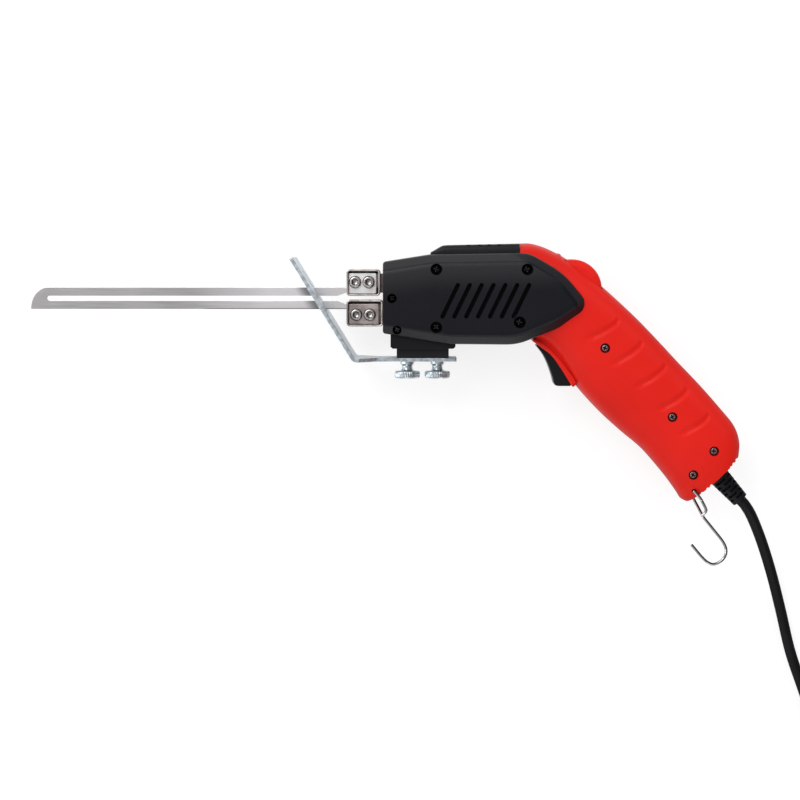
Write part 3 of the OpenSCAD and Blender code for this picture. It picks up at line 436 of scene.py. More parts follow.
class Finish(Enum):
    """Finishes of the part."""

    RED = Moulded("red_plastic", (0.745, 0.0135, 0.0070), 0.42, 1300.0, 0.00005, 0.1, 0.2)
    # Its last value lifts the top of the face as painted light; its right border stays darker as painted
    # shade
    BLACK = Moulded("black_plastic", (0.0040, 0.0045, 0.0074), 0.4, 1500.0, 0.00015, 0.1, 0.24, 0.019)
    RAIL = Moulded("black_rail", (0.0095, 0.0100, 0.0130), 0.42, 1500.0, 0.00009, 0.1, 0.26)
    BLACK_TRIM = Moulded("black_trim", (0.0040, 0.0043, 0.0062), 0.38, 1500.0, 0.00006, 0.1, 0.24)
    BLADE = Brushed(
        "brushed_blade", (0.58, 0.565, 0.575), 0.34,
        # Painted highlight, painted shade beside the guide and painted shade on the legs inside the trays
        legs=(-0.0492, -0.0482), edge=(-0.0059, 0.0008, -0.128), painted_highlight=(-0.138, -0.086), painted_guide_shade=(-0.07, 0.6),
    )
    ZINC = Plated("zinc_plate", (0.54, 0.6, 0.65), 0.36, 420.0, 0.2, (0.34, 0.39, 0.43), 0.6, 0.75)
    ZINC_SCREW = Plated("zinc_screw", (0.6, 0.66, 0.7), 0.24, 320.0, 0.24)
    NICKEL = Plated("nickel_tray", (0.66, 0.61, 0.58), 0.28, 130.0, 0.2)
    # Lit and shaded copies of one clamp plate: the upper one pale as painted light, the lower one darker and
    # browner as painted shade
    CLAMP = Plated("clamp_plate", (0.97, 0.95, 0.945), 0.3, 180.0, 0.06, worn=0.15, metal=0.2)
    CLAMP_DARK = Plated("clamp_plate_painted_shade", (0.56, 0.49, 0.475), 0.36, 180.0, 0.24, worn=0.4)
    # Dark heads whose cross recesses are painted light: painted glints
    SCREW = Recessed("dark_screw", (0.03, 0.03, 0.033), (0.3, 0.3, 0.31), 0.34)
    # Grey heads whose cross recesses are painted dark: painted shade
    GREY_SCREW = Recessed("grey_screw", (0.44, 0.44, 0.46), (0.012, 0.012, 0.013), 0.26)
    # Pale socket heads whose sockets are painted dark: painted shade
    TERMINAL = Recessed("socket_screw", (0.72, 0.68, 0.66), (0.03, 0.027, 0.025), 0.28)
    # Pale wire whose side towards one way is painted dark: a painted reflection
    WIRE = Recessed("hook_wire", (0.78, 0.76, 0.755), (0.05, 0.047, 0.047), 0.13)
    # Copper darkened as painted shade inside the housing
    COPPER = Wound("copper_winding", (0.3, 0.085, 0.035), 1.0, 0.34, 9000.0, 1)
    # Copper strap darkened as painted shade inside the housing
    STRAP = Plated("copper_strap", (0.2, 0.065, 0.03), 0.42, 120.0, 0.3, (0.06, 0.025, 0.012))
    BUSBAR = Plated("tinned_busbar", (0.34, 0.3, 0.285), 0.45, 150.0, 0.3)
    CORE = Wound("core_sheets", (0.09, 0.088, 0.085), 0.9, 0.5, 12000.0, 2)
    # Near-black sheets that stand in for shade: painted shade behind the vents and on the tray floors
    SHADE_SHEET = Moulded("vent_shade_sheet", (0.0022, 0.0021, 0.0022), 0.6, 900.0, 0.0001, 0.1, 0.15)
    BOARD = Moulded("green_board", (0.014, 0.1, 0.035), 0.4, 900.0)
    CREAM = Moulded("cream_plastic", (0.66, 0.6, 0.47), 0.42, 1200.0)
    MICA = Moulded("insulator", (0.15, 0.125, 0.1), 0.55, 700.0)
    BLUE_LEAD = Moulded("blue_lead", (0.03, 0.09, 0.32), 0.4, 1500.0)
    BROWN_LEAD = Moulded("brown_lead", (0.14, 0.055, 0.02), 0.4, 1500.0)
    CORD = Jacket("cord_jacket", (0.0034, 0.0034, 0.0044), 0.5)
    STRAP_TIE = Moulded("cord_tie", (0.03, 0.031, 0.035), 0.7, 2200.0, 0.0001)
    BRASS = Plated("plug_brass", (0.78, 0.6, 0.3), 0.3, 200.0, 0.15, (0.3, 0.19, 0.07))


MATERIALS: dict[Finish, bpy.types.Material] = {}


def material_of(finish: Finish) -> bpy.types.Material:
    """The one material of a finish, made at its first use."""
    if finish not in MATERIALS:
        MATERIALS[finish] = finish.value.material()
    return MATERIALS[finish]


# Curves and surfaces


@dataclass
class Patch:
    """Points in millimetres and the faces between them."""

    points: Array
    faces: list[tuple[int, ...]]

    def __add__(self, other: "Patch") -> "Patch":
        """Both patches side by side."""
        k = len(self.points)
        moved = [tuple(i + k for i in f) for f in other.faces]
        return Patch(np.vstack([self.points, other.points]), self.faces + moved)

    def turned(self, rows: Points | Array, move: Place = (0, 0, 0)) -> "Patch":
        """The patch with its axes laid along the rows of a matrix, then moved."""
        return Patch(self.points @ np.asarray(rows, float) + np.asarray(move, float), self.faces)

    def moved(self, at: Sequence[float]) -> "Patch":
        """The patch moved along x and y."""
        return Patch(self.points + [at[0], at[1], 0.0], self.faces)

    def mirrored(self) -> "Patch":
        """The patch mirrored in the middle plane."""
        return Patch(self.points * [1, 1, -1], [f[::-1] for f in self.faces])


def together(patches: Iterable[Patch]) -> Patch:
    """All patches as one."""
    first, *others = patches
    return sum(others, first)


def unit(v: Array) -> Array:
    """Vectors of length 1 along the last axis."""
    v = np.asarray(v, float)
    return v / np.linalg.norm(v, axis=-1, keepdims=True)


def flow(points: Points, samples: int) -> Array:
    """Smooth curve through points, as samples evenly spaced in the parameter."""
    return flow_at(points, np.linspace(0, 1, samples))


def flow_at(points: Points, at: Array) -> Array:
    """Points of a smooth curve through points.

    Args:
        points: points that the curve passes through.
        at: parameters from 0 at the first point to 1 at the last.

    Returns:
        Points of the cubic whose tangents join the neighbours of each point.
    """
    p = np.asarray(points, float)
    k = len(p) - 1
    t = np.asarray(at, float) * k
    i = np.clip(t.astype(int), 0, k - 1)
    u = (t - i)[..., None]
    a, b, c, d = p[np.maximum(i - 1, 0)], p[i], p[i + 1], p[np.minimum(i + 2, k)]
    return 0.5 * (
        2 * b + (c - a) * u + (2 * a - 5 * b + 4 * c - d) * u**2 + (3 * b - a - 3 * c + d) * u**3
    )


def bezier(a: Sequence[float], b: Sequence[float], c: Sequence[float], n: int = 6) -> Array:
    """Points of the quadratic curve from a to c that leans towards b."""
    u = np.linspace(0, 1, n)[:, None]
    return (1 - u) ** 2 * np.array(a) + 2 * u * (1 - u) * np.array(b) + u**2 * np.array(c)


def around(n: int) -> Array:
    """Evenly spaced angles of one full turn."""
    return np.linspace(0, 2 * math.pi, n, endpoint=False)


def bow(v: Array, power: Array | float) -> Array:
    """Power that keeps the sign, which squares a circle's sine and cosine."""
    return np.sign(v) * np.abs(v) ** power


def level(xy: Array, z: float) -> Array:
    """Points in x and y set at one height."""
    return np.column_stack([xy, np.full(len(xy), z)])


def lathe(r: Array, z: Array) -> Array:
    """Rings about z from radii and heights by row and angle."""
    r, z = np.broadcast_arrays(r, z)
    a = around(r.shape[1])
    return np.stack([r * np.cos(a), r * np.sin(a), z], axis=-1)


def cross_2d(v: Array, w: Array) -> Array:
    """Cross products of rows of vectors in a plane."""
    return v[:, 0] * w[:, 1] - v[:, 1] * w[:, 0]


def even(path: Array, gap: float) -> Array:
    """The path resampled at an even spacing along its length."""
    length = np.concatenate([[0], np.cumsum(np.linalg.norm(np.diff(path, axis=0), axis=1))])
    at = np.linspace(0, length[-1], max(2, int(round(length[-1] / gap)) + 1))
    return np.stack([np.interp(at, length, path[:, k]) for k in range(path.shape[1])], axis=1)


def step(x: Array, low: float, high: float) -> Array:
    """Eased step from 0 at low to 1 at high."""
    t = np.clip((np.asarray(x, float) - low) / (high - low), 0, 1)
    return t * t * (3 - 2 * t)


def skin(rings: Array, loop: bool = False) -> Patch:
    """Surface through closed rings, turned outwards by the sign of its volume.

    Args:
        rings: array of rings by points by 3.
        loop: joins the last ring to the first, in place of a face at both ends.

    Returns:
        The patch of quads between neighbouring rings.
    """
    n, m = rings.shape[:2]
    grid = np.arange(n * m).reshape(n, m)
    rows = np.vstack([grid, grid[:1]]) if loop else grid
    a, b = rows[:-1], rows[1:]
    quads = np.stack([a, np.roll(a, -1, 1), np.roll(b, -1, 1), b], axis=-1).reshape(-1, 4)
    faces = [tuple(q) for q in quads.tolist()]
    if not loop:
        faces += [tuple(grid[0, ::-1].tolist()), tuple(grid[-1].tolist())]
    p = rings.reshape(-1, 3)
    corner = p[quads]
    facing = np.cross(corner[:, 2] - corner[:, 0], corner[:, 3] - corner[:, 1])
    inside_out = np.sum(corner[:, 0] * facing) < 0
    return Patch(p, [f[::-1] for f in faces] if inside_out else faces)


def strip(one: Array, other: Array) -> Array:
    """Corner numbers of the quads between two lines of points."""
    return np.stack([one[:-1], one[1:], other[1:], other[:-1]], -1)


def grid_quads(grid: Array) -> Array:
    """Corner numbers of the quads between neighbouring rows and columns of a grid."""
    return np.stack([grid[:-1, :-1], grid[:-1, 1:], grid[1:, 1:], grid[1:, :-1]], -1).reshape(-1, 4)


def normals_2d(outline: Array) -> Array:
    """Inward directions at the points of an outline, scaled so that edges move evenly."""
    before, after = unit(outline - np.roll(outline, 1, 0)), unit(np.roll(outline, -1, 0) - outline)
    area = np.sum(cross_2d(outline, np.roll(outline, -1, 0)))
    turn = np.array([[0, 1], [-1, 0]]) * (1 if area > 0 else -1)
    n0, n1 = before @ turn, after @ turn
    mean = unit(n0 + n1)
    return mean / np.clip(np.sum(mean * n0, axis=1, keepdims=True), 0.35, 1)


def prism(outline: Points | Array, profile: Points) -> Patch:
    """Outline carried along z with a profile of insets.

    Args:
        outline: points of the closed outline in x and y.
        profile: pairs of inset and z, from one end to the other.

    Returns:
        The closed patch.
    """
    o = np.asarray(outline, float)
    inward = normals_2d(o)
    return skin(np.stack([level(o + inward * d, z) for d, z in profile]))


def soft_edges(low: float, high: float, r: float, n: int = 4) -> list[tuple[float, float]]:
    """Profile of a slab from low to high whose edges are rounded with radius r."""
    a = np.linspace(0, math.pi / 2, n + 1)
    first = [(r * (1 - math.sin(t)), low + r * (1 - math.cos(t))) for t in a]
    return first + [(d, high + low - z) for d, z in reversed(first)]


def turned_profile(
    profile: Points, sides: int = 64, wobble: Callable[[Array, Array], Array] | None = None
) -> Patch:
    """Profile of radius and height turned about z.

    Args:
        profile: pairs of radius and height; the ends are closed with a face.
        sides: number of points around.
        wobble: radius factor as a function of angle and row number.

    Returns:
        The closed patch.
    """
    p = np.asarray(profile, float)
    factor = wobble(around(sides)[None, :], np.arange(len(p))[:, None]) if wobble else 1.0
    return skin(lathe(p[:, :1] * factor * np.ones((1, sides)), p[:, 1:]))


def rod(at: Sequence[float], profile: Points, sides: int = 48) -> Patch:
    """Profile of radius and z turned about a line along z through a point."""
    return turned_profile(profile, sides).moved(at)


def cup(at: Sequence[float], radii: Place, heights: Place) -> Patch:
    """Screw boss of outer, inner and bore radius, and heights of its underside, seat and rim."""
    (out, inn, bore), (low, seat, top) = radii, heights
    return rod(at, [(out, low), (out, top), (inn, top), (inn, seat), (bore, seat), (bore, low)])


def tube_along(path: Array, radius: float, sides: int) -> Patch:
    """Round tube whose centre follows a path that never runs along z.

    Args:
        path: points of the path.
        radius: radius of the tube.
        sides: number of points around.

    Returns:
        The closed patch with flat ends.
    """
    t = unit(np.gradient(path, axis=0))
    side = unit(np.cross(t, [0.0, 0.0, 1.0]))
    over = np.cross(side, t)
    a = around(sides)[None, :, None]
    return skin(path[:, None] + radius * (np.cos(a) * side[:, None] + np.sin(a) * over[:, None]))


def slab(x: Sequence[float], y: Sequence[float], z: Sequence[float], r: float = 0.0) -> Patch:
    """Box between two values on each axis, with edges rounded by r."""
    corner = max(r * 1.5, 0.01)
    return prism(box_outline(x, y, corner, 4), soft_edges(*z, r) if r else [(0, z[0]), (0, z[1])])


def rounded(corners: Points, n: int) -> Array:
    """Closed outline with an arc at each corner.

    Args:
        corners: x, y and radius of each corner.
        n: segments in each arc.

    Returns:
        Points of the outline, n + 1 for each corner.
    """
    c = np.asarray(corners, float)
    p, q, s = np.roll(c[:, :2], 1, 0), c[:, :2], np.roll(c[:, :2], -1, 0)
    u, v = unit(p - q), unit(s - q)
    half = np.arccos(np.clip(np.sum(u * v, 1), -1, 1)) / 2
    centre = q + unit(u + v) * (c[:, 2] / np.sin(half))[:, None]
    first = q + u * (c[:, 2] / np.tan(half))[:, None] - centre
    turn = np.where(cross_2d(u, v) > 0, -1, 1) * (math.pi - 2 * half)
    start = np.arctan2(first[:, 1], first[:, 0])
    a = start[:, None] + turn[:, None] * np.linspace(0, 1, n + 1)
    arc = centre[:, None] + c[:, 2][:, None, None] * np.stack([np.cos(a), np.sin(a)], axis=-1)
    return arc.reshape(-1, 2)


def box_outline(x: Sequence[float], y: Sequence[float], r: float, n: int) -> Array:
    """Rectangle between two values of x and y, with corners of radius r in n segments."""
    return rounded([(x[0], y[0], r), (x[1], y[0], r), (x[1], y[1], r), (x[0], y[1], r)], n)


def stadium(length: float, radius: float) -> Array:
    """Outline of a slot along y: straight for length, with round ends."""
    a = np.linspace(0, math.pi, 11)
    top = np.column_stack([radius * np.cos(a), length / 2 + radius * np.sin(a)])
    return np.vstack([top, -top])


# Pieces


def linked(name: str, data: bpy.types.ID) -> bpy.types.Object:
    """Object of some data, in the scene."""
    obj = bpy.data.objects.new(name, data)
    bpy.context.scene.collection.objects.link(obj)
    return obj


def piece(
    name: str,
    patch: Patch,
    finish: Finish,
    nodes: Sequence[str] = (),
    body: Body = Body.HOUSING,
    lift: float = MIDDLE,
    sharp: float = 38.0,
    cut: Patch | None = None,
    recalculate: bool = False,
) -> bpy.types.Object:
    """Makes a patch an object of the part.

    Args:
        name: name of the object.
        patch: its surface in millimetres.
        finish: its finish.
        nodes: nodes of the part that it stands for.
        body: body that it rides on.
        lift: height of the patch's z = 0 above the floor.
        sharp: edges that turn by more degrees than this stay crisp.
        cut: closed patch that is taken away from it.
        recalculate: turns the faces outwards first.

    Returns:
        The object.
    """
    obj = bare(name, patch, lift, recalculate)
    if cut is not None:
        carve(obj, bare(name + "_cut", cut, lift))
    obj.data.polygons.foreach_set("use_smooth", np.ones(len(obj.data.polygons), bool))
    obj.data.set_sharp_from_angle(angle=math.radians(sharp))
    even_out = obj.modifiers.new("even", "WEIGHTED_NORMAL")
    even_out.keep_sharp, even_out.weight = True, 60
    obj.data.materials.clear()
    obj.data.materials.append(material_of(finish))
    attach(obj, body.value)
    if nodes:
        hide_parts(*nodes)
    log.info("%s: %d faces, %s", name, len(obj.data.polygons), finish.value.name)
    return obj


def mark_painted_light(obj: bpy.types.Object, inside: Array) -> None:
    """Keeps each point's share of its finish's second, painted shade, 0 to 1, as an attribute."""
    kept = obj.data.attributes.new(PAINTED_LIGHT_SHARE, "FLOAT", "POINT")
    kept.data.foreach_set("value", np.asarray(inside, np.float32).ravel())


def cross_arm(u: Array, v: Array) -> Array:
    """One arm of a cross recess, along v, as a smooth step."""
    return step(-np.abs(u), -0.22, -0.12) * step(-np.abs(v), -0.68, -0.6)


def cross_head(at: Sequence[float], r: float, low: float, top: float, turn: float) -> tuple[Patch, Array]:
    """Pan head with a cross recess, on a shank along z.

    The head's height is a flat dome less a smooth plus-shaped step; rings run
    from the shank up the edge and in to the middle.

    Args:
        at: x and y of the axis.
        r: radius of the head.
        low: z of the seat.
        top: z of the head's middle.
        turn: angle of the recess in radians.

    Returns:
        The closed patch and each point's share of the recess.
    """
    sides = 96
    a = around(sides) + turn
    part = np.concatenate([np.linspace(1, 0.12, 30), [0.02]])[:, None]
    x, y = part * np.cos(a), part * np.sin(a)
    inside = np.maximum(cross_arm(x, y), cross_arm(y, x))
    z = top - 0.35 * part**3 - 0.34 * r * inside * (1.1 - part)
    seat = np.array([(0.5 * r, low - 5), (0.5 * r, low), (0.96 * r, low), (r, low + 0.1)])
    rings = np.concatenate([lathe(seat[:, :1] * np.ones(sides), seat[:, 1:]), lathe(r * part, z)])
    return skin(rings).moved(at), np.concatenate([np.zeros(len(seat) * sides), inside.ravel()])


def cross_screws(
    name: str, heads: Sequence[tuple[Patch, Array]], finish: Finish, nodes: Sequence[str]
) -> None:
    """Makes heads and their recesses one marked piece that stands for nodes of the housing."""
    obj = piece(name, together(patch for patch, _ in heads), finish, nodes, sharp=50)
    mark_painted_light(obj, np.concatenate([inside for _, inside in heads]))


def bare(name: str, patch: Patch, lift: float, recalculate: bool = False) -> bpy.types.Object:
    """Makes a plain object of a patch, in metres.

    Args:
        name: name of the object and its mesh.
        patch: its surface in millimetres.
        lift: height of the patch's z = 0 above the floor.
        recalculate: turns the faces outwards.

    Returns:
        The object.
    """
    mesh = bpy.data.meshes.new(name)
    mesh.from_pydata(((patch.points + [0, 0, lift]) / 1000).tolist(), [], patch.faces)
    if recalculate:
        work = bmesh.new()
        work.from_mesh(mesh)
        bmesh.ops.recalc_face_normals(work, faces=work.faces)
        work.to_mesh(mesh)
        work.free()
    return linked(name, mesh)


def carve(obj: bpy.types.Object, cutter: bpy.types.Object) -> None:
    """Takes a cutter away from an object's mesh.

    Args:
        obj: object that is cut.
        cutter: closed object, which is deleted afterwards.
    """
    tool = obj.modifiers.new("cut", "BOOLEAN")
    tool.operation, tool.solver, tool.object = "DIFFERENCE", "EXACT", cutter
    bpy.context.view_layer.update()
    made = bpy.data.meshes.new_from_object(obj.evaluated_get(bpy.context.evaluated_depsgraph_get()))
    obj.modifiers.clear()
    obj.data = made
    bpy.data.objects.remove(cutter)


def carried(finish: Finish, *nodes: str, bevel: float = 0.0) -> None:
    """Dresses nodes of the part that show as they are.

    Args:
        finish: their finish.
        nodes: names of the nodes.
        bevel: width of a live bevel in millimetres, or 0 for none.
    """
    for name in nodes:
        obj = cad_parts[name]
        obj.data.materials.clear()
        obj.data.materials.append(material_of(finish))
        if bevel:
            weld = obj.modifiers.new("weld", "WELD")
            weld.merge_threshold = 0.00001
            edge = obj.modifiers.new("edge", "BEVEL")
            edge.width, edge.segments, edge.limit_method = bevel / 1000, 2, "ANGLE"
            edge.angle_limit, edge.harden_normals = math.radians(40), False
        log.info("%s: carried over, %s", name, finish.value.name)


# Sub-assemblies


@dataclass
class Housing:
    """Black transformer housing: two shells with sloping borders, rail and foot."""

    corners: tuple = (
        (-29.6, 19.95, 1.5), (-3.9, 24.0, 14), (49, 24.9, 16), (67.6, 14.2, 46), (82.5, -4, 7),
        (66, -15.2, 26), (43, -24.6, 30), (7, -24.3, 12), (-29.6, -18.5, 1.5),
    )
    half: float = 25.0
    skirt: float = 18.5
    border: float = 5.0
    wall: float = 2.6
    segments: int = 12
    vents: int = 7
    vent_pitch: float = 6.35
    vent_lean: float = 26.0
    vent_length: float = 18.7
    vent_width: float = 2.15
    vent_at: tuple = (6.65, -0.7)
    body_holes: tuple = ((-0.8, 16.1), (-0.8, -15), (48, 16.1), (44, -12.3))
    body_hole_r: float = 3.1
    nose_holes: tuple = ((-24.6, 0.5), (-21.9, -16.6))
    nose_hole_r: float = 2.5
    # Heights of the dark painted-shade sheet behind the vents
    shade_sheet_z: tuple = (20.4, 21.2)
    rail_half: float = 13.0
    rail_shoulder: float = 3.2
    rail_square: float = 0.7
    rail_rise: tuple = ((-3.8, 0.02), (1.6, 3.2), (2.8, 3.75), (4.2, 3.95), (6, 4.07), (44.3, 4.85))

    def outline(self, inward: float, nose: float) -> Array:
        """Housing outline moved inwards, with its own distance for the nose edge.

        Args:
            inward: distance for all other edges.
            nose: distance for the nose edge.

        Returns:
            Points of the outline.
        """
        c = np.asarray(self.corners, float)
        p, q, s = np.roll(c[:, :2], 1, 0), c[:, :2], np.roll(c[:, :2], -1, 0)
        k = len(c)
        d0 = np.where(np.arange(k) == 0, nose, inward)[:, None]
        d1 = np.where(np.arange(k) == k - 1, nose, inward)[:, None]
        t0, t1 = unit(q - p), unit(s - q)
        a = p + np.column_stack([t0[:, 1], -t0[:, 0]]) * d0
        b = q + np.column_stack([t1[:, 1], -t1[:, 0]]) * d1
        at = a + t0 * (cross_2d(b - a, t1) / cross_2d(t0, t1))[:, None]
        return rounded(np.column_stack([at, np.maximum(c[:, 2] - inward, 0.8)]), self.segments)

    def shell_patch(self) -> Patch:
        """Left shell: a wall ring, a ruled border with soft edges and a flat face, outside and in."""
        outer, face = self.outline(0, 0), self.outline(self.border, 0.15)
        inner = self.outline(self.wall, self.wall)
        inner_face = self.outline(self.border + self.wall, self.wall + 0.15)
        rise = self.half - self.skirt
        line = np.vstack([
            [(0.07, 0.0), (0.0, 0.3), (0.0, 9.0)],
            bezier((0, self.skirt - 1.1), (0, self.skirt), (0.16, self.skirt + 0.16 * rise)),
            bezier((0.8, self.half - 0.2 * rise), (1, self.half), (1.42, self.half)),
            [(1.56, self.half)],
        ])
        rings = [level(inner_face, self.half - self.wall), level(inner, self.skirt - 1.0), level(inner, 0.0)]
        for w, z in line:
            edge = outer + (face - outer) * w if w <= 1 else self.outline(self.border * w, 0.15 * w)
            rings.append(level(edge, z))
        return skin(np.stack(rings))

    def vent_cuts(self) -> Patch:
        """Leaning slots with a small flare at the face."""
        turn = math.radians(-self.vent_lean)
        c, s = math.cos(turn), math.sin(turn)
        slot = prism(
            stadium(self.vent_length, self.vent_width / 2),
            [(0, 21.4), (0, self.half - 0.2), (-0.16, self.half + 0.1), (-0.16, self.half + 1)],
        ).turned([[c, s, 0], [-s, c, 0], [0, 0, 1]])
        x, y = self.vent_at
        return together(slot.moved((x + self.vent_pitch * i, y)) for i in range(self.vents))

    def shade_sheet(self) -> Patch:
        """Thin dark sheet behind the vents, painted shade in place of the dark inside: a leaning rectangle
        with round corners.
        """
        lean = math.tan(math.radians(self.vent_lean))
        x0, x1, y = 0.2, 46.3, 13.2
        corners = [(x + s * y * lean, s * y, 2) for x, s in ((x0, 1), (x1, 1), (x1, -1), (x0, -1))]
        return prism(rounded(corners, 6), soft_edges(*self.shade_sheet_z, 0.2, 2))

    def nose_cut(self) -> Patch:
        """Window in the nose face for the insulator."""
        return slab((-31, -25), (-17.1, 17.1), (-2, 6.1))

    def hole_cuts(self) -> Patch:
        """Screw holes through the left face, flared at the rim."""
        kinds = (self.body_holes, self.body_hole_r, 17), (self.nose_holes, self.nose_hole_r, 12)
        return together(
            rod(at, [(r, low), (r, self.half - 0.2), (r + 0.15, self.half + 0.1), (r + 0.15, 27)])
            for holes, r, low in kinds
            for at in holes
        )

    def wells(self) -> Patch:
        """Screw bosses under the holes."""
        body_r, nose_r, wall, bore = self.body_hole_r, self.nose_hole_r, 1.3, 1.4
        made = [cup(at, (body_r + wall, body_r, bore), (12, 13.5, 22.2)) for at in self.body_holes]
        made += [cup(at, (nose_r + wall, nose_r, bore), (12.5, 14, 16.4)) for at in self.nose_holes]
        return together(made)

    def rail(self) -> Patch:
        """Rail on the top edge: sections with quarter-ellipse shoulders, whose height follows a ramp."""
        x = np.concatenate([np.linspace(-3.8, 1.0, 8), np.linspace(1.6, 6.0, 10), np.linspace(9, 44.3, 8)])
        rise = np.interp(x, *np.transpose(self.rail_rise))
        t = np.linspace(0, math.pi / 2, 9)
        half = self.rail_half - self.rail_shoulder * (1 - bow(np.cos(t), self.rail_square))
        half = np.concatenate([[self.rail_half - 0.1], half])
        up = np.concatenate([[0], bow(np.sin(t), self.rail_square)])
        base = np.array([22.0] + [25.0] * len(t))
        z, up, base = (np.concatenate([v, w[::-1]]) for v, w in ((half, -half), (up, up), (base, base)))
        y = base + rise[:, None] * up
        return skin(np.stack(np.broadcast_arrays(x[:, None], y, z), axis=-1))

    def rail_cuts(self) -> Patch:
        """Four narrow vents in each shoulder of the rail."""
        spots = [(x, z) for x in (16.7, 22.6, 27.9, 33.5) for z in (-9.2, 9.2)]
        return together(slab((x - 0.95, x + 0.95), (27.2, 34), (z - 3, z + 3)) for x, z in spots)

    def foot(self) -> Patch:
        """Foot block with chamfered ends."""
        block = [
            (-25.5, -17.6, 0.3), (7, -23.2, 0.3), (9.7, -24.0, 0.3), (9.7, -25.95, 0.4),
            (8.5, -26.95, 0.6), (-24.3, -26.95, 0.6), (-25.5, -25.95, 0.6),
        ]
        return prism(rounded(block, 5), soft_edges(-15, 15, 0.25, 3))

    def pedestal(self) -> Patch:
        """Pedestal between the foot block and the guide plate."""
        lower = [(-22.2, -26.8, 0.2), (6.1, -26.8, 0.2), (6.1, -32.15, 0.5), (-22.2, -32.15, 0.5)]
        return prism(rounded(lower, 5), soft_edges(-11, 11, 0.3, 3))

    def foot_cuts(self) -> Patch:
        """Bores for the thumb screws."""
        bore = turned_profile([(2.2, 10), (2.2, 60)], 40).turned(DOWN)
        return together(bore.moved((x, 0)) for x in SCREW_X)

    def build(self) -> None:
        """Makes the shells, wells, rail, foot, the dark painted-shade sheets behind the vents, and screws."""
        whole = self.shell_patch()
        piece("left_nose_shell_skin", whole, Finish.BLACK, ["left_nose_shell"],
              cut=self.vent_cuts() + self.hole_cuts() + self.nose_cut())
        piece("right_nose_shell_skin", whole.mirrored(), Finish.BLACK, ["right_nose_shell"],
              cut=(self.vent_cuts() + self.nose_cut()).mirrored())
        piece("housing_screw_wells", self.wells(), Finish.BLACK)
        piece("vent_rail", self.rail(), Finish.RAIL, ["top_vent_cover"],
              cut=self.rail_cuts(), recalculate=True)
        piece("foot_block_skin", self.foot(), Finish.BLACK, ["foot_block"], cut=self.foot_cuts())
        # The pedestal takes the paler rail black as painted light, where it sits in shade
        piece("foot_pedestal", self.pedestal(), Finish.RAIL, cut=self.foot_cuts())
        # Dark sheets behind the vents: painted shade
        piece("left_vent_screen", self.shade_sheet(), Finish.SHADE_SHEET)
        piece("right_vent_screen", self.shade_sheet().mirrored(), Finish.SHADE_SHEET)
        # Housing screws: dark heads with painted glints in their cross recesses
        made = [cross_head(at, 2.35, 13.5, 15.7, 0.3 + 0.5 * i) for i, at in enumerate(self.body_holes)]
        made += [cross_head(at, 2.0, 14.0, 16.0, 0.7 + 0.4 * i) for i, at in enumerate(self.nose_holes)]
        cross_screws("housing_cross_screws", made, Finish.SCREW, ["body_screws", "nose_screws"])
        carried(Finish.ZINC_SCREW, "thumb_screw_nuts", bevel=0.15)


# First row of the hexagon in a socket head, and points around the head
SOCKET_ROW = 9
SOCKET_SIDES = 72


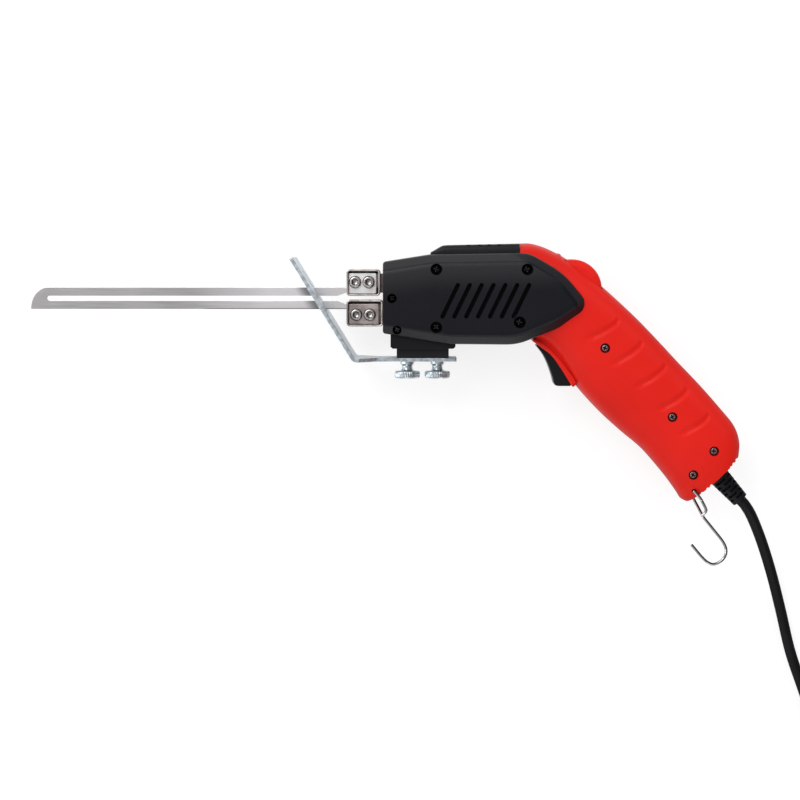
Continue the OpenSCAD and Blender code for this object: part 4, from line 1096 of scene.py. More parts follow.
@dataclass
class Terminals:
    """Plated trays that clamp the blade legs, with their plates and socket screws."""

    x0: float = -49.7
    x1: float = -29.7
    tray_y: tuple = (8.65, -8.0)
    height: float = 14.6
    wall: float = 1.05
    low: float = -5.3
    rim: float = 5.0
    floor: float = -3.7
    clamp: float = 3.3
    screw_x: tuple = (-45.0, -37.6)
    screw_y: float = 8.9

    def box(self, s: int) -> tuple[float, float, float, float]:
        """Outer x and y limits of the upper tray, where s is 1, or the lower one."""
        y = self.tray_y[0] if s > 0 else self.tray_y[1]
        return self.x0, self.x1 - 0.75 * (s + 1), y - self.height / 2, y + self.height / 2

    def tray(self, s: int) -> Patch:
        """Dish: a rounded box wall with a full round rim and a flat floor."""
        x0, x1, y0, y1 = self.box(s)
        half = self.wall / 2
        turn = np.linspace(0, math.pi, 9)
        rim = [(half - half * math.cos(t), self.rim - half + half * math.sin(t)) for t in turn]
        profile = [
            (1.2, self.low), (0.35, self.low + 0.35), (0, self.low + 1.2), *rim,
            (self.wall + 0.05, self.floor + 0.5), (self.wall + 0.5, self.floor),
        ]
        return prism(box_outline((x0, x1), (y1, y0), 2, 8), profile)

    def plate(self, s: int) -> Patch:
        """Clamp plate with soft edges."""
        x0, x1, y0, y1 = self.box(s)
        w = self.wall
        return slab((x0 + w + 0.1, x1 - w - 1.2), (y0 + w + 0.15, y1 - w - 1.1), (0.6, self.clamp), 0.5)

    def screw_places(self, s: int) -> list[tuple[float, float]]:
        """Axes of the screws in the upper tray, where s is 1, or the lower one."""
        return [(x + 0.3 - 0.3 * s, s * self.screw_y) for x in self.screw_x]

    @staticmethod
    def socket(a: Array, i: Array) -> Array:
        """Radius factor that makes a hexagon of the rings inside the head."""
        hexagon = 1 / np.cos((a + math.pi / 6) % (math.pi / 3) - math.pi / 6)
        return np.where(i >= SOCKET_ROW, hexagon * np.ones_like(i), 1.0)

    def screws(self) -> Patch:
        """Socket heads: a turned head whose inner rings turn into a hexagon."""
        profile = [
            (1.5, -3.4), (1.5, 1.0), (2.7, 1.0), (2.98, 1.2), (2.98, 4.7), (2.86, 5.0), (2.64, 5.15),
            (2.35, 5.2), (2.0, 5.2), (1.72, 5.15), (1.64, 4.9), (1.6, 3.4), (1.2, 3.1), (0.2, 2.9),
        ]
        head = turned_profile(profile, SOCKET_SIDES, self.socket)
        return together(head.moved(at) for s in (1, -1) for at in self.screw_places(s))

    def build(self) -> None:
        """Makes the trays, their dark painted-shade pads, plates and screws, and dresses what they join."""
        # The upper plate takes the painted-light copy of the clamp finish, the lower one the painted-shade
        # copy
        for name, s, finish in (("upper", 1, Finish.CLAMP), ("lower", -1, Finish.CLAMP_DARK)):
            slots = slab((-52, -46.5), sorted((s * 2.9, s * 6.2)), (-0.8, 0.8))
            piece(f"{name}_tray_dish", self.tray(s), Finish.NICKEL, [f"{name}_terminal_tray"], cut=slots)
            x0, x1, y0, y1 = self.box(s)
            # Near-black pad on each tray floor: painted shade in the gaps round the plate
            shade_pad = slab((x0 + 1.6, x1 - 1.6), (y0 + 1.6, y1 - 1.6), (self.floor, self.floor + 0.3), 0.1)
            piece(f"{name}_tray_pad", shade_pad, Finish.SHADE_SHEET)
            bores = together(rod(at, [(3.4, -1), (3.4, 6)]) for at in self.screw_places(s))
            piece(f"{name}_clamp", self.plate(s), finish, [f"{name}_clamp_plate"], cut=bores)
        heads = piece("terminal_socket_screws", self.screws(), Finish.TERMINAL, ["terminal_screws"], sharp=30)
        # Painted shade in each socket: its walls dark, its edge and floor partly
        inside = [0.0] * SOCKET_ROW + [0.5, 1.0, 1.0, 0.3, 0.2]
        mark_painted_light(heads, np.tile(np.repeat(inside, SOCKET_SIDES), 4))
        carried(Finish.BUSBAR, "upper_busbar", "lower_busbar", bevel=0.2)
        carried(Finish.MICA, "terminal_insulator", bevel=0.2)


@dataclass
class Blade:
    """Flat slotted resistance blade with a curved tip."""

    tip_x: float = -223.0
    width: float = 11.8
    gap: float = 2.7
    tip: float = 9.4
    tang: float = 2.7
    thickness: float = 1.2
    tray_x: float = -49.7
    end_x: float = -32.3

    def patch(self) -> Patch:
        """Outline with a quarter-ellipse tip and a slot, as a thin slab with soft edges."""
        leg, gap = self.width / 2, self.gap / 2
        a = np.linspace(0, math.pi / 2, 16)
        tip = np.column_stack([self.tip_x + self.tip * (1 - np.cos(a)), -leg + self.width * np.sin(a)])
        b = np.linspace(math.pi / 2, 3 * math.pi / 2, 13)
        slot = np.column_stack([self.tip_x + self.tip + gap - 0.4 + gap * np.cos(b), gap * np.sin(b)])
        inner = leg - self.tang
        upper = [(self.end_x, leg), (self.end_x, inner), (self.tray_x, inner), (self.tray_x - 5, gap)]
        lower = [(x, -y) for x, y in reversed(upper)]
        half = self.thickness / 2
        return prism(np.vstack([tip, upper, slot, lower]), soft_edges(-half, half, 0.18, 2))

    def build(self) -> None:
        """Makes the blade."""
        piece("blade_sheet", self.patch(), Finish.BLADE, ["blade"], sharp=30)


@dataclass
class Guide:
    """Bent zinc plate under the housing, and its two knurled screws."""

    top: float = -32.2
    thickness: float = 2.0
    bend_x: float = -43.5
    bend_r: float = 2.2
    slope: float = 58.5
    leg: float = 63.0
    wide: float = 20.0
    slim: float = 11.0
    end_x: float = 10.4
    tongue_r: float = 1.2
    leg_r: float = 0.8

    @staticmethod
    def drawn_in(gap: Array, r: float) -> Array:
        """How far a round corner draws an edge in, at distances from its end."""
        return r - np.sqrt(np.clip(r * r - np.clip(r - gap, 0, None) ** 2, 0, None))

    def plate(self) -> Patch:
        """Cross-section with soft edges carried along tongue, bend and leg, at each station's own width."""
        c = np.array([self.bend_x, self.top + self.bend_r])
        turn = np.radians(np.linspace(-90, -90 - self.slope, 15))
        round_out = np.column_stack([np.cos(turn), np.sin(turn)])
        arc = c + self.bend_r * round_out
        slope = math.radians(self.slope)
        ease = 1 - np.sin(np.linspace(0.2, math.pi / 2, 8))
        d = np.concatenate([np.linspace(4, self.leg - self.leg_r, 12), self.leg - self.leg_r * ease])
        leg = arc[-1] + d[:, None] * np.array([-math.cos(slope), math.sin(slope)])
        ease = 1 - np.sin(np.linspace(math.pi / 2, 0.2, 5))
        end = self.end_x - self.tongue_r * ease
        x = np.concatenate([end, np.linspace(6, -33, 8), np.linspace(-34, -42.5, 10)])
        path = np.vstack([level(x[:, None], self.top), arc, leg])
        out = np.vstack([np.tile([0, -1], (len(x), 1)), round_out, np.tile(round_out[-1], (len(d), 1))])
        half = np.full(len(path), self.wide)
        half[:len(x)] = np.interp(-x, [33, 42.5], [self.slim, self.wide])
        half[:len(x)] -= self.drawn_in(self.end_x - x, self.tongue_r)
        half[-len(d):] -= self.drawn_in(self.leg - d, self.leg_r)
        r = 0.35
        a = np.linspace(0, math.pi / 2, 4)
        quarter = np.column_stack([r * (1 - np.sin(a)), r * (1 - np.cos(a))])
        edge = np.vstack([quarter, np.column_stack([quarter[::-1, 0], self.thickness - quarter[::-1, 1]])])
        z = np.concatenate([half[:, None] - edge[None, :, 0], -(half[:, None] - edge[None, ::-1, 0])], axis=1)
        depth = np.concatenate([edge[:, 1], edge[::-1, 1]])
        xy = path[:, None] + out[:, None] * depth[None, :, None]
        return skin(np.concatenate([xy, z[..., None]], axis=-1))

    def cuts(self) -> Patch:
        """Slot for the blade and two slots for the screws."""
        across = np.array([[0, 0, 1], [1, 0, 0], [0, 1, 0]])
        slot = prism(stadium(9, 2.4), [(0, -40), (0, -30)]).turned(across)
        blade_slot = slab((-100, -50), (-8.1, 15), (-1.9, 1.9))
        return together([blade_slot, *(slot.moved((x + 0.5, 0)) for x in SCREW_X)])

    @staticmethod
    def knurl(a: Array, i: Array) -> Array:
        """Radius factor of the fine grooves round the head's widest rings."""
        return np.where((i >= 12) & (i <= 15), 1 - 0.02 * np.clip(np.cos(44 * a), -0.2, 1), 1.0)

    def screw(self, x: float) -> Patch:
        """Collar, neck and knurled head turned about y."""
        profile = [
            (2, -7.4), (2, 0.02), (3.7, 0.02), (4, 0.3), (4, 1.5), (3.85, 1.75), (3.3, 2.2),
            (3, 2.7), (3, 4.1), (3.3, 4.9), (4.1, 5.4), (6.1, 5.55), (6.6, 5.8), (6.95, 6.4),
            (6.95, 8.7), (6.6, 9.3), (6.1, 9.55), (4.6, 9.6), (4.3, 9.2), (0.4, 9.2),
        ]
        seat = self.top - self.thickness - 0.05
        return turned_profile(profile, 352, self.knurl).turned(DOWN).moved((x, seat))

    def build(self) -> None:
        """Makes the plate and the screws."""
        piece("guide_sheet", self.plate(), Finish.ZINC, ["guide_plate"], Body.GUIDE, cut=self.cuts())
        for side, x, body in zip(("front", "rear"), SCREW_X, (Body.FRONT_SCREW, Body.REAR_SCREW)):
            nodes = [f"{side}_thumb_screw"]
            piece(f"{side}_knurled_screw", self.screw(x), Finish.ZINC_SCREW, nodes, body, sharp=30)


@dataclass
class Handle:
    """Red pistol handle: two lofted shells with grip grooves, lip, dial, trigger and screws."""

    front: tuple = (
        (46, -22), (52.5, -22.6), (59, -25.2), (65.3, -31.5), (70.5, -39), (75.8, -47.6), (84.2, -57.2),
        (92.4, -65.4), (101.8, -73.7), (111.7, -82), (121, -92.4), (127.6, -100.7), (132, -107),
        (133.6, -109.5), (136.4, -110.9),
    )
    back: tuple = (
        (44.4, 29.9), (51, 29.8), (59.4, 27.2), (70.4, 21.4), (80.3, 14), (89.7, 6.6), (99, -1.7),
        (108.9, -11), (119.9, -22.3), (131.5, -34.7), (143.6, -47.3), (154.6, -59.7), (162.5, -69.5),
        (166, -79), (166.2, -86.8),
    )
    thick: float = 38.6
    square: float = 2.6
    wall: float = 2.4
    end_wall: float = 0.972
    grooves: tuple = (
        ((79.1, -21.8), (97.9, -12.6)), ((92.6, -35.7), (110.8, -24.8)), ((106.1, -47.8), (123.7, -37.1)),
        ((118, -60.2), (135.7, -50)), ((130, -73.7), (147.3, -64.1)),
    )
    screws: tuple = ((0.416, 0.053), (0.678, 0.01), (0.844, 0.237), (0.838, -0.473))
    lip_front: tuple = (
        (51.8, -23.2), (56.1, -26.25), (61.85, -30.8), (66.4, -36.85), (70.4, -43.15), (72.9, -47.1),
    )
    lip_end: tuple = ((72.9, -47.1), (73.6, -47.9), (74.5, -47.6), (75.4, -46.4), (75.5, -45.1))
    lip_back: tuple = ((74.8, -43.2), (70.4, -37.4), (65.85, -31.7), (60.1, -26), (55, -22.7), (51.6, -21.4))
    web_front: tuple = ((53, -22.8), (58.5, -26.4), (63.8, -31.2), (68.3, -37), (72.4, -43), (74.2, -45.6))
    web_back: tuple = ((79.3, -44.8), (74, -36.2), (68.8, -28.7), (62, -21.8), (54.5, -18.4))
    dial_at: tuple = (73.3, 5.1)
    dial_r: float = 16.2
    dial_half: float = 9.0
    notches: tuple = (8.7, 12.5, 15.2, -7.4, -5.2, -2.4)
    boss_rooms: tuple = Housing.body_holes[2:]
    notch_r: float = 0.95
    notch_rise: float = 0.65
    end_bulge: float = 1.5
    end_depth: float = 0.6
    end_lean: float = 1.5
    end_round: float = 0.5
    groove_cut: float = 0.95
    groove_bow: float = 1.1
    groove_hook: float = 0.9
    crease: tuple = ((73.5, 17.6), (78.5, 12.6), (84, 7.6), (88.4, 3.8), (94.4, -1.4))
    crease_cut: float = 0.35
    ridge_at: tuple = (66.3, 23.9)
    ridge: tuple = (0.275, 0.4785)

    def half_thickness(self, s: Array) -> Array:
        """Half of the handle's thickness at stations s."""
        return self.thick / 2 * (1 - 0.1 * np.asarray(s) ** 2)

    def section(self, s: Array, a: Array, inward: Array) -> Array:
        """Rounded-box sections between the front and back edges.

        Args:
            s: stations from neck to end.
            a: angles from the front edge over the side to the back edge.
            inward: distance that each station's section is drawn in.

        Returns:
            Points by station and angle.
        """
        power = 2 / self.square
        f, b = flow_at(self.front, s), flow_at(self.back, s)
        middle, h = (f + b) / 2, (b - f) / 2
        reach = np.linalg.norm(h, axis=1) - inward
        across = bow(np.cos(a), power)[None, :]
        xy = middle[:, None] - unit(h)[:, None] * (reach[:, None] * across)[..., None]
        lean = self.end_lean * step(s, 0.86, 1.0)[:, None] * np.where(across > 0, 0.35, 1.0) * across
        xy = xy + lean[..., None] * np.array(CORD_WAY)
        z = (self.half_thickness(s) - inward)[:, None] * bow(np.sin(a), power)[None, :]
        return np.concatenate([xy, z[..., None]], axis=-1)

    def surface_at(self, s: float, c: float) -> Place:
        """Point of the left side at a station and cross fraction."""
        f, b = flow_at(self.front, np.array([s]))[0], flow_at(self.back, np.array([s]))[0]
        at = (f + b) / 2 + (b - f) / 2 * c
        return at[0], at[1], float(self.half_thickness(s)) * (1 - abs(c) ** self.square) ** (1 / self.square)

    def screw_places(self) -> list[Place]:
        """Points of the left side where the screws sit."""
        return [self.surface_at(s, c) for s, c in self.screws]

    def groove_depth(self, xy: Array) -> Array:
        """Depth of the grip grooves: a long slope down to a bowed line, then a short step up."""
        depth = np.zeros(xy.shape[:-1])
        for start, end in self.grooves:
            p, way = np.array(start, float), np.array(end, float) - np.array(start, float)
            length = np.linalg.norm(way)
            way = way / length
            u = ((xy - p) @ way) / length
            q = (xy - p) @ np.array([-way[1], way[0]])
            line = -self.groove_bow * 4 * u * (1 - u) * (np.abs(u - 0.5) < 0.5)
            d = q - (line + self.groove_hook * step(u, 0.9, 1.06))
            shape = np.where(d > 0, 1 - step(d, 0.2, 3.0), 1 - step(-d, 0.0, 1.6))
            ends = step(u, -0.06, 0.3) * (1 - step(u, 0.97, 1.07))
            depth = np.maximum(depth, self.groove_cut * shape * ends)
        return depth

    def crease_depth(self, xy: Array) -> Array:
        """Fine line beside the dial, along the back of the handle."""
        line = even(flow(self.crease, 24), 0.8)
        gap = np.min(np.linalg.norm(xy[..., None, :] - line, axis=-1), axis=-1)
        return self.crease_cut * (1 - step(gap, 0.1, 0.9))

    def shell(self, rows: int = 300, cols: int = 150) -> Patch:
        """Left shell: outer grid with grooves and a rounded end, inner grid, and strips between.

        Args:
            rows: stations of the outer grid before its rounded end.
            cols: points of the outer grid from the front edge to the back.

        Returns:
            The closed patch.
        """
        a = np.linspace(0, math.pi, cols)
        bend = np.linspace(0, math.pi / 2, 7)[1:]
        last = 0.992
        s = np.concatenate([np.linspace(0, last, rows), last + 0.008 * np.sin(bend)])
        drawn = np.concatenate([np.zeros(rows), self.end_round * (1 - np.cos(bend))])
        outer = self.section(s, a, drawn)
        away = np.linalg.norm(outer[..., :2] - self.ridge_at, axis=-1)
        outer[..., :2] += (1 - step(away, 0.2, 1.9))[..., None] * np.array(self.ridge)
        near = (outer[..., 0] > 70) & (outer[..., 2] > 6)
        outer[..., 2][near] -= self.groove_depth(outer[near][:, :2]) + self.crease_depth(outer[near][:, :2])
        n, inner_cols = len(s), 24
        inner = self.section(
            self.end_wall * np.linspace(0, 1, n), np.linspace(0, math.pi, inner_cols), np.full(n, self.wall)
        )
        og = np.arange(n * cols).reshape(n, cols)
        ig = n * cols + np.arange(n * inner_cols).reshape(n, inner_cols)
        seams = [strip(og[:, 0], ig[:, 0]), strip(og[:, -1], ig[:, -1])]
        faces = np.vstack([grid_quads(og), grid_quads(ig), *seams])
        ends = [[*og[0], *ig[0, ::-1]], og[-1], ig[-1], [og[-1, 0], og[-1, -1], ig[-1, -1], ig[-1, 0]]]
        made = [tuple(f) for f in faces.tolist()] + [tuple(int(i) for i in end) for end in ends]
        return Patch(np.vstack([outer.reshape(-1, 3), inner.reshape(-1, 3)]), made)

    def end_dome(self) -> Patch:
        """End face: the last section drawn to its middle with a low dome round the cord."""
        sides = 180
        edge = self.section(np.array([1.0]), around(sides), np.array([self.end_round]))[0]
        centre = (edge[0] + edge[sides // 2]) / 2
        out = np.array([*CORD_WAY, 0.0])
        size = np.concatenate([[0.04, 1.0], np.linspace(1, 0.04, 14)])[:, None, None]
        rings = centre + (edge - centre) * size + out * self.end_bulge * (1 - step(size, 0.25, 0.85))
        rings[:2] = centre + (edge - centre) * size[:2] - self.end_depth * out
        return skin(rings)

    def notch_cuts(self) -> Patch:
        """Rods across the end edge, at distances from its front end or, below 0, from its back end."""
        ends = self.section(np.array([1.0]), np.array([0, math.pi]), np.array([self.end_round]))
        front, back = ends[0, :, :2]
        length = float(np.linalg.norm(back - front))
        d = np.array(self.notches)
        d = np.where(d < 0, d + length, d)
        rise = self.end_bulge * (1 - step(np.abs(2 * d / length - 1), 0.25, 0.85)) + 0.1
        rise = np.where(d < length / 2, self.notch_rise, rise)
        at = front + d[:, None] * (back - front) / length + rise[:, None] * np.array(CORD_WAY)
        return together(rod(p, [(self.notch_r, -30), (self.notch_r, 30)], 24) for p in at)

    def cord_hole(self, far: float) -> Patch:
        """Bore for the cord, up to a distance beyond the end face."""
        return turned_profile([(5.3, -9), (5.3, far)]).turned(CORD_ROWS, (*CORD_EXIT, 0))

    def trigger_room(self) -> Patch:
        """Room of the trigger: its side outline across the tool."""
        outline = [
            (52.9, -25.2), (72.8, -48.7), (75.2, -47.4), (78, -46.2), (84, -45), (84, -30),
            (70, -14.5), (56, -14.5),
        ]
        return prism(outline, [(0, -7.9), (0, 7.9)])

    def cuts(self, side: Side) -> Patch:
        """Rooms of the trigger and dial, holes for the hook and cord, and the left side's screw holes."""
        made = [
            self.trigger_room(),
            rod(self.dial_at, [(16.32, -9.2), (16.32, 9.2)], 120),
            rod(HOOK_AT, [(1.2, -30), (1.2, 30)]),
            self.cord_hole(6),
            self.notch_cuts(),
        ]
        if side is Side.LEFT:
            made += [rod(at, [(5.0, 5), (5.0, 30)]) for at in self.boss_rooms]
            for x, y, z in self.screw_places():
                flare = [(2.8, z - 0.05), (3.0, z + 0.5), (3.0, z + 2)]
                made.append(rod((x, y), [(2.6, z - 8), (2.6, z - 0.5), *flare]))
        return together(made)

    def wells(self) -> Patch:
        """Cups under the screw holes, finished black as painted shade in the holes."""
        return together(
            cup((x, y), (3.6, 2.6, 1.3), (z - 4.2, z - 3, z - 1.4)) for x, y, z in self.screw_places()
        )

    def lip(self) -> Patch:
        """Red bead round the trigger."""
        outline = np.vstack([flow(self.lip_front, 30), flow(self.lip_end, 16)[1:], flow(self.lip_back, 30)])
        return prism(outline, soft_edges(-10.9, 10.9, 0.95, 6))

    def web(self) -> Patch:
        """Lower band that joins the bead to the handle."""
        outline = np.vstack([flow(self.web_front, 30), flow(self.web_back, 30)])
        return prism(outline, soft_edges(-9.4, 9.4, 0.3, 3))

    def dial(self) -> Patch:
        """Wheel with round shoulders and a bore."""
        w, r, k, bore = self.dial_half, self.dial_r, 4.2, 3.05
        side = [(r - k + k * math.sin(t), -w + k - k * math.cos(t)) for t in np.linspace(0, math.pi / 2, 9)]
        other = [(p, -q) for p, q in reversed(side)]
        profile = np.array([(bore, 0), (bore, -w), *side, *other, (bore, w), (bore, 0.001)])
        return skin(lathe(profile[:, :1] * np.ones(160), profile[:, 1:]), loop=True).moved(self.dial_at)

    def trigger(self) -> Patch:
        """Wedge with a hollow front and soft edges."""
        front = [
            (53.9, -25.9), (57.2, -30), (59.6, -34.4), (61.4, -39), (62.7, -43), (63.5, -46),
            (64.3, -47.2), (65.9, -47.7),
        ]
        back = [(72.2, -47.7), (73.6, -46.8), (73.6, -45), (71.5, -38), (68.5, -29), (65.5, -20)]
        outline = np.vstack([flow(front, 40), flow(back, 16), [(57, -20)]])
        return prism(outline, soft_edges(-7.5, 7.5, 0.7, 5))

    def build(self) -> None:
        """Makes the shells, end, wells, lip, web, dial, trigger and screws."""
        whole = self.shell()
        piece("left_handle_shell_skin", whole, Finish.RED, ["left_handle_shell"],
              cut=self.cuts(Side.LEFT), recalculate=True)
        piece("right_handle_shell_skin", whole.mirrored(), Finish.RED, ["right_handle_shell"],
              cut=self.cuts(Side.RIGHT), recalculate=True)
        hole = self.cord_hole(9) + self.notch_cuts()
        piece("handle_end", self.end_dome(), Finish.RED, cut=hole, recalculate=True)
        # Black cups in the red shell: painted shade in the screw holes
        piece("handle_screw_wells", self.wells(), Finish.BLACK_TRIM)
        piece("trigger_lip", self.lip(), Finish.RED, cut=self.trigger_room())
        piece("trigger_web", self.web(), Finish.RED, cut=self.trigger_room())
        piece("dial_wheel", self.dial(), Finish.RED, ["temperature_dial"], Body.DIAL)
        bore = rod((61, -19.5), [(1.55, -20), (1.55, 20)])
        piece("trigger_wedge", self.trigger(), Finish.BLACK_TRIM, ["trigger"], Body.TRIGGER, cut=bore)
        made = [
            cross_head((x, y), 1.9, z - 3.0, z - 1.7, 0.4 + 0.6 * i)
            for i, (x, y, z) in enumerate(self.screw_places())
        ]
        # Handle screws: grey heads with painted shade in their cross recesses
        cross_screws("handle_cross_screws", made, Finish.GREY_SCREW, ["handle_screws"])


@dataclass
class Hook:
    """Wire hanging hook at the end of the handle."""

    radius: float = 0.8
    reach: float = 16.8
    # Way of the wire's side that is painted dark as a painted reflection
    painted_reflection_way: tuple = (0.85, 0.5, 0.1)

    def patch(self) -> Patch:
        """Two legs from the cross hole, one of which runs on into the shank and bend."""
        k, r = self.reach, self.radius
        far = [
            (*HOOK_AT, -k), (141.2, -107.8, -k), (142.6, -110.8, 1 - k), (144.6, -115.6, -7),
            (146.4, -119.8, -0.9), (147.6, -121.6, 0), (152, -127, 0), (157.4, -133.8, 0), (159.4, -138, 0),
            (159.2, -141.6, 0), (157, -144.8, 0), (153, -146.8, 0), (149.6, -145.8, 0), (146.4, -143, 0),
            (141.9, -137.7, 0), (140.4, -135.9, 0),
        ]
        near = [
            (*HOOK_AT, k), (142.2, -107.4, k), (143.8, -109.8, k - 1), (147, -114.8, 7), (147.6, -117, 3.4),
            (146, -119.2, 2),
        ]
        cross = rod(HOOK_AT, [(0.5, -k - 0.8), (r, -k - 0.5), (r, k + 0.5), (0.5, k + 0.8)], 24)
        return tube_along(flow(far, 220), r, 20) + tube_along(flow(near, 80), r, 20) + cross

    def build(self) -> None:
        """Makes the hook, with the wire's side towards one way painted dark as a painted reflection."""
        wire = piece("hook_wire", self.patch(), Finish.WIRE, ["hook"], Body.HOOK)
        facing = np.array([v.vector for v in wire.data.vertex_normals]) @ np.array(self.painted_reflection_way)
        mark_painted_light(wire, step(facing, -0.15, 0.35))


@dataclass
class MainsCord:
    """Mains cord: strain relief, free lead, coil with its tie, tail and plug. Heights are from the floor."""

    diameter: float = 6.0
    gap: float = 1.8
    sides: int = 20
    relief_end: float = 18.0
    relief_r: float = 5.9
    relief_taper: float = 0.072
    ribs: tuple = (2.0, 15.8)
    rib_pitch: float = 2.5
    rib_depth: float = 1.6
    coil_centre: tuple = (263.0, -264.0)
    coil_radius: float = 47.0
    coil_pitch: float = 6.6
    coil_step: float = 6.55
    coil_z: float = 4.0
    turns: float = 6.5
    plug_y: float = -202.0
    plug_x: float = 310.0
    plug_z: float = 7.0

    def end_point(self, t: float) -> Array:
        """Point on the cord's way out of the handle, t beyond the end face."""
        return np.array([*(np.array(CORD_EXIT) + np.array(CORD_WAY) * t), MIDDLE])

    def coil_at(self, k: Array) -> Array:
        """Points of the coil after k turns: spirals in, climbs a layer in half a turn, and spirals out."""
        half = self.turns / 2
        a = math.pi + 2 * math.pi * k
        r = self.coil_radius - self.coil_pitch * (half - np.sqrt((k - half) ** 2 + 0.01))
        z = self.coil_z + self.coil_step * step(k, half - 0.25, half + 0.25)
        x, y = self.coil_centre
        return np.stack([x + r * np.cos(a), y + r * np.sin(a), z], axis=-1)

    def coil_reach(self, k: float) -> float:
        """Distance of the coil from its axis after k turns."""
        return float(np.hypot(*(self.coil_at(np.array([k]))[0, :2] - self.coil_centre)))

    def route(self) -> Array:
        """Centre line from the handle's end face to the plug."""
        low = self.diameter / 2 + 0.05
        lead = [
            self.end_point(self.relief_end), (170, -114.2, 24.2), (174.4, -121.4, 21), (181, -136, 14),
            (187.6, -154.5, 8), (193.8, -176, low + 0.6), (199.6, -199.5, low), (207, -221, low),
            (213.4, -239, low + 0.3), (216, -252, self.coil_z), (216, -258, self.coil_z),
        ]
        coil = self.coil_at(np.linspace(0, self.turns, 400))
        last = coil[-1]
        end = np.array([self.plug_x, self.plug_y, self.plug_z])
        tail = [last + [0, 6, 0], last + [0, 12, 0], last + [0, 28, -1.2]]
        tail += [end - [0, 12, -0.4], end - [0, 5, 0], end]
        whole = np.vstack([[self.end_point(0), self.end_point(9)], flow(lead, 120), coil, flow(tail, 60)])
        return even(whole, self.gap)

    def tube(self) -> bpy.types.Object:
        """The cord as one tube with a map of length and turn."""
        path = self.route()
        tube = tube_along(path, self.diameter / 2, self.sides)
        cord = piece("mains_cord", tube, Finish.CORD, ["cord_lead", "cord_coil", "cord_tail"], lift=0.0)
        along = np.repeat(np.arange(len(path)) * self.gap / 1000, self.sides)
        table = np.column_stack([along, np.tile(np.arange(self.sides) / self.sides, len(path))])
        index = np.zeros(len(cord.data.loops), np.int32)
        cord.data.loops.foreach_get("vertex_index", index)
        cord.data.uv_layers.new(name="lay").data.foreach_set("uv", table[index].astype(np.float32).ravel())
        return cord

    def relief(self) -> Patch:
        """Tapered sleeve: a core with ribs joined by staggered bridges, and a collar at each end."""
        end = self.relief_end
        t = np.concatenate([[-6.9, -6.9, -3.4, -3.4, 0.3], np.linspace(0.4, end, 150), [end]])[:, None]
        a = around(96)[None, :]
        taper = self.relief_r - self.relief_taper * np.clip(t, 0, end)
        u = (t - self.ribs[0]) / self.rib_pitch
        row = np.floor(u)
        gap = (u - row < 0.5) & (t > self.ribs[0]) & (t < self.ribs[1])
        bridge = np.cos(4 * a + math.pi * row + math.pi / 2) > 0.7
        outside = np.where(gap & ~bridge, taper - self.rib_depth, taper)
        outside[:5] = np.array([3.1, 7.3, 7.3, 5.2, 5.2])[:, None]
        outside[-2:] = np.array([4.55, 3.05])[:, None]
        return skin(lathe(outside, t)).turned(CORD_ROWS, (*CORD_EXIT, MIDDLE))

    def tie(self) -> Patch:
        """Strap round the coil: a flat section carried round a rounded box."""
        r1, r0 = self.coil_reach(0.75) + 3.7, self.coil_reach(self.turns / 2 - 0.5) - 3.7
        h = self.diameter + self.coil_step
        wide, tall = (r1 - r0) / 2 + 0.4, h / 2 + 0.6
        loop = box_outline((-wide, wide), (tall, -tall), 2, 8)
        a = around(16)
        thick, across = 0.4 * bow(np.sin(a), 0.4), 4.0 * bow(np.cos(a), 0.3)
        middle = np.array([self.coil_centre[1] + (r0 + r1) / 2, 1 + h / 2])
        yz = (middle + loop)[:, None] + normals_2d(loop)[:, None] * thick[:, None]
        x = np.broadcast_to(self.coil_centre[0] + across, yz.shape[:2])
        return skin(np.concatenate([x[..., None], yz], axis=-1), loop=True)

    def plug(self) -> Patch:
        """Plug body: rounded-box sections that widen from the cord to the pin face."""
        neck = [
            (0, 3.6), (0.6, 4.2), (3, 4.4), (3.1, 3.8), (4.2, 3.8), (4.3, 4.6), (5.8, 4.6),
            (5.9, 4.0), (7.4, 4.2),
        ]
        head = [
            (8.2, 6.5, 5.2), (10, 8.6, 6.2), (13, 11.4, 6.6), (17, 14.6, 6.8), (20, 16.2, 6.9),
            (24, 17.2, 6.95), (30, 17.45, 6.95), (34.6, 17.4, 6.9), (35.5, 16.9, 6.5), (36, 15.9, 5.6),
            (36, 12, 4),
        ]
        y, wide, tall = np.array([(y, r, r) for y, r in neck] + head).T[:, :, None]
        power = 2 / np.interp(y, [7, 14], [2, 3.4])
        a = around(64)[None, :]
        x = wide * bow(np.cos(a), power) + self.plug_x
        z = tall * bow(np.sin(a), power) + self.plug_z
        return skin(np.stack([x, (self.plug_y + y) * np.ones_like(a), z], axis=-1))

    def build(self) -> None:
        cord = self.tube()
        relief = piece("relief_sleeve", self.relief(), Finish.BLACK_TRIM, ["strain_relief"], lift=0.0)
        tie = piece("cord_strap", self.tie(), Finish.STRAP_TIE, ["cord_tie"], lift=0.0)
        plug = piece("plug_shell", self.plug(), Finish.BLACK_TRIM, ["plug_body"], lift=0.0)
        carried(Finish.BRASS, "plug_pins", bevel=0.15)
        path = self.route() / 1000


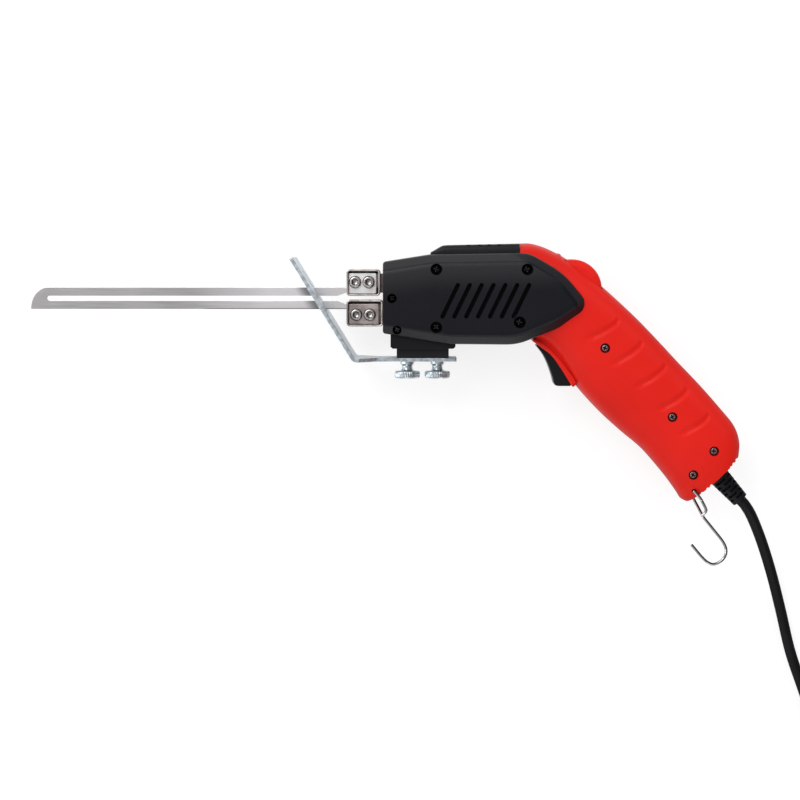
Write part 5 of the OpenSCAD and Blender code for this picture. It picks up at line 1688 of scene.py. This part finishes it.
@dataclass
class Insides:
    """Pieces inside the housing and handle, shown through vents and slots."""

    def build(self) -> None:
        """Dresses the nodes that carry over."""
        carried(Finish.CORE, "transformer_core", bevel=0.2)
        # Bobbin in black trim in place of cream: painted shade inside the housing
        carried(Finish.BLACK_TRIM, "winding_bobbin", bevel=0.15)
        carried(Finish.CREAM, "switch_plunger", bevel=0.15)
        # Copper winding and strap in their darkened finishes: painted shade inside the housing
        carried(Finish.COPPER, "primary_winding", bevel=0.3)
        carried(Finish.STRAP, "secondary_strap", bevel=0.2)
        carried(Finish.BOARD, "control_board", bevel=0.1)
        carried(Finish.BLACK_TRIM, "switch_body", "cord_clamp", bevel=0.2)
        carried(Finish.ZINC_SCREW, "potentiometer", "trigger_pin", "clamp_screws", bevel=0.15)
        carried(Finish.BROWN_LEAD, "live_lead")
        carried(Finish.BLUE_LEAD, "neutral_lead")


@dataclass
class Studio:
    """Camera, floor and soft light. Lengths are metres from the frame's origin."""

    eye: tuple = (-0.0095, 0.0295, 1.1506)
    aim: tuple = (-0.0205, -0.0559, 0.025)
    lens: float = 92.38
    floor_z: float = -0.0004
    floor_half: float = 4.0
    floor_glow: float = 0.78
    lit: tuple = (0.02, -0.04, 0.02)
    lamps: tuple = (
        ("key", (-0.6, 0.8, 1.2), (0.9, 0.9), 9.8, True),
        ("left", (-1.2, -0.3, 0.7), (0.8, 1.2), 5.5, True),
        ("low", (0.3, -1.2, 0.6), (1.4, 0.5), 3.4, True),
        ("right", (0.9, 0.9, 0.7), (1.2, 0.8), 10.0, False),
    )

    def camera(self) -> None:
        """Camera that looks down on the tool with +Y up in the picture."""
        data = bpy.data.cameras.new("camera")
        data.lens, data.sensor_width, data.clip_end = self.lens, 36.0, 20.0
        cam = linked("camera", data)
        ahead = (Vector(self.aim) - Vector(self.eye)).normalized()
        right = ahead.cross(Vector((0, 1, 0))).normalized()
        up = right.cross(ahead)
        turn = Matrix((right, up, -ahead)).transposed().to_4x4()
        cam.matrix_world = Matrix.Translation(Vector(self.eye)) @ turn
        bpy.context.scene.camera = cam

    def floor(self) -> None:
        """White floor that keeps the shadow of the tool."""
        mesh = bpy.data.meshes.new("floor")
        k, z = self.floor_half, self.floor_z
        mesh.from_pydata([(-k, -k, z), (k, -k, z), (k, k, z), (-k, k, z)], [], [(0, 1, 2, 3)])
        floor = linked("floor", mesh)
        s = Shade("floor_white")
        rays = ("Is Camera Ray", "Is Glossy Ray", "Is Transmission Ray")
        camera, glossy, through = (s.node("ShaderNodeLightPath", {}, {}, ray) for ray in rays)
        seen = camera + glossy * (1 - s.axis(0).step(0.04, 0.17) * 0.9) + through
        s.dress(
            Base_Color=(0.3, 0.3, 0.3),
            Roughness=0.9,
            Specular_IOR_Level=0.0,
            Emission_Color=s.mix(seen, (0.0, 0.0, 0.0), (1.0, 1.0, 1.0)),
            Emission_Strength=self.floor_glow,
        )
        mesh.materials.append(s.material)

    def lamp(self, name: str, at: Place, size: tuple[float, float], power: float, mirrored: bool) -> None:
        """Soft box aimed at the tool.

        Args:
            name: name of the lamp.
            at: its place.
            size: width and height.
            power: its power in watts.
            mirrored: whether it shows in glossy surfaces.
        """
        data = bpy.data.lights.new(name, "AREA")
        data.shape, data.size, data.size_y, data.energy = "RECTANGLE", size[0], size[1], power
        lamp = linked(name, data)
        lamp.location = at
        lamp.rotation_euler = (Vector(self.lit) - Vector(at)).to_track_quat("-Z", "Y").to_euler()
        lamp.visible_glossy = mirrored

    def light(self) -> None:
        """Pale world, darker towards +X, with soft boxes from four sides."""
        world = bpy.data.worlds.new("studio")
        bpy.context.scene.world = world
        world.use_nodes = True
        sky = Graph(world.node_tree)
        way = sky.node("ShaderNodeTexCoord", {}, {}, "Generated")
        along = sky.node("ShaderNodeSeparateXYZ", {}, {0: way}, "X")
        ground = world.node_tree.nodes["Background"]
        fade = sky.node("ShaderNodeMapRange", {}, {0: along, 1: 0.1, 2: 0.8, 3: 0.45, 4: 0.2})
        sky.set(ground.inputs[0], (1.0, 1.0, 1.0))
        sky.set(ground.inputs[1], fade)
        for lamp in self.lamps:
            self.lamp(*lamp)

    def build(self) -> None:
        """Sets up camera, floor and light."""
        bpy.context.scene.view_settings.view_transform = "Standard"
        self.camera()
        self.floor()
        self.light()


def main() -> None:
    """Builds the studio and every sub-assembly."""
    logging.basicConfig(level=logging.INFO, format="%(name)s %(message)s")
    parts = (Studio(), MainsCord(), Housing(), Terminals(), Blade(), Guide(), Handle(), Hook(), Insides())
    for part in parts:
        part.build()
        log.info("built %s", type(part).__name__)


if __name__ == "__main__":
    main()
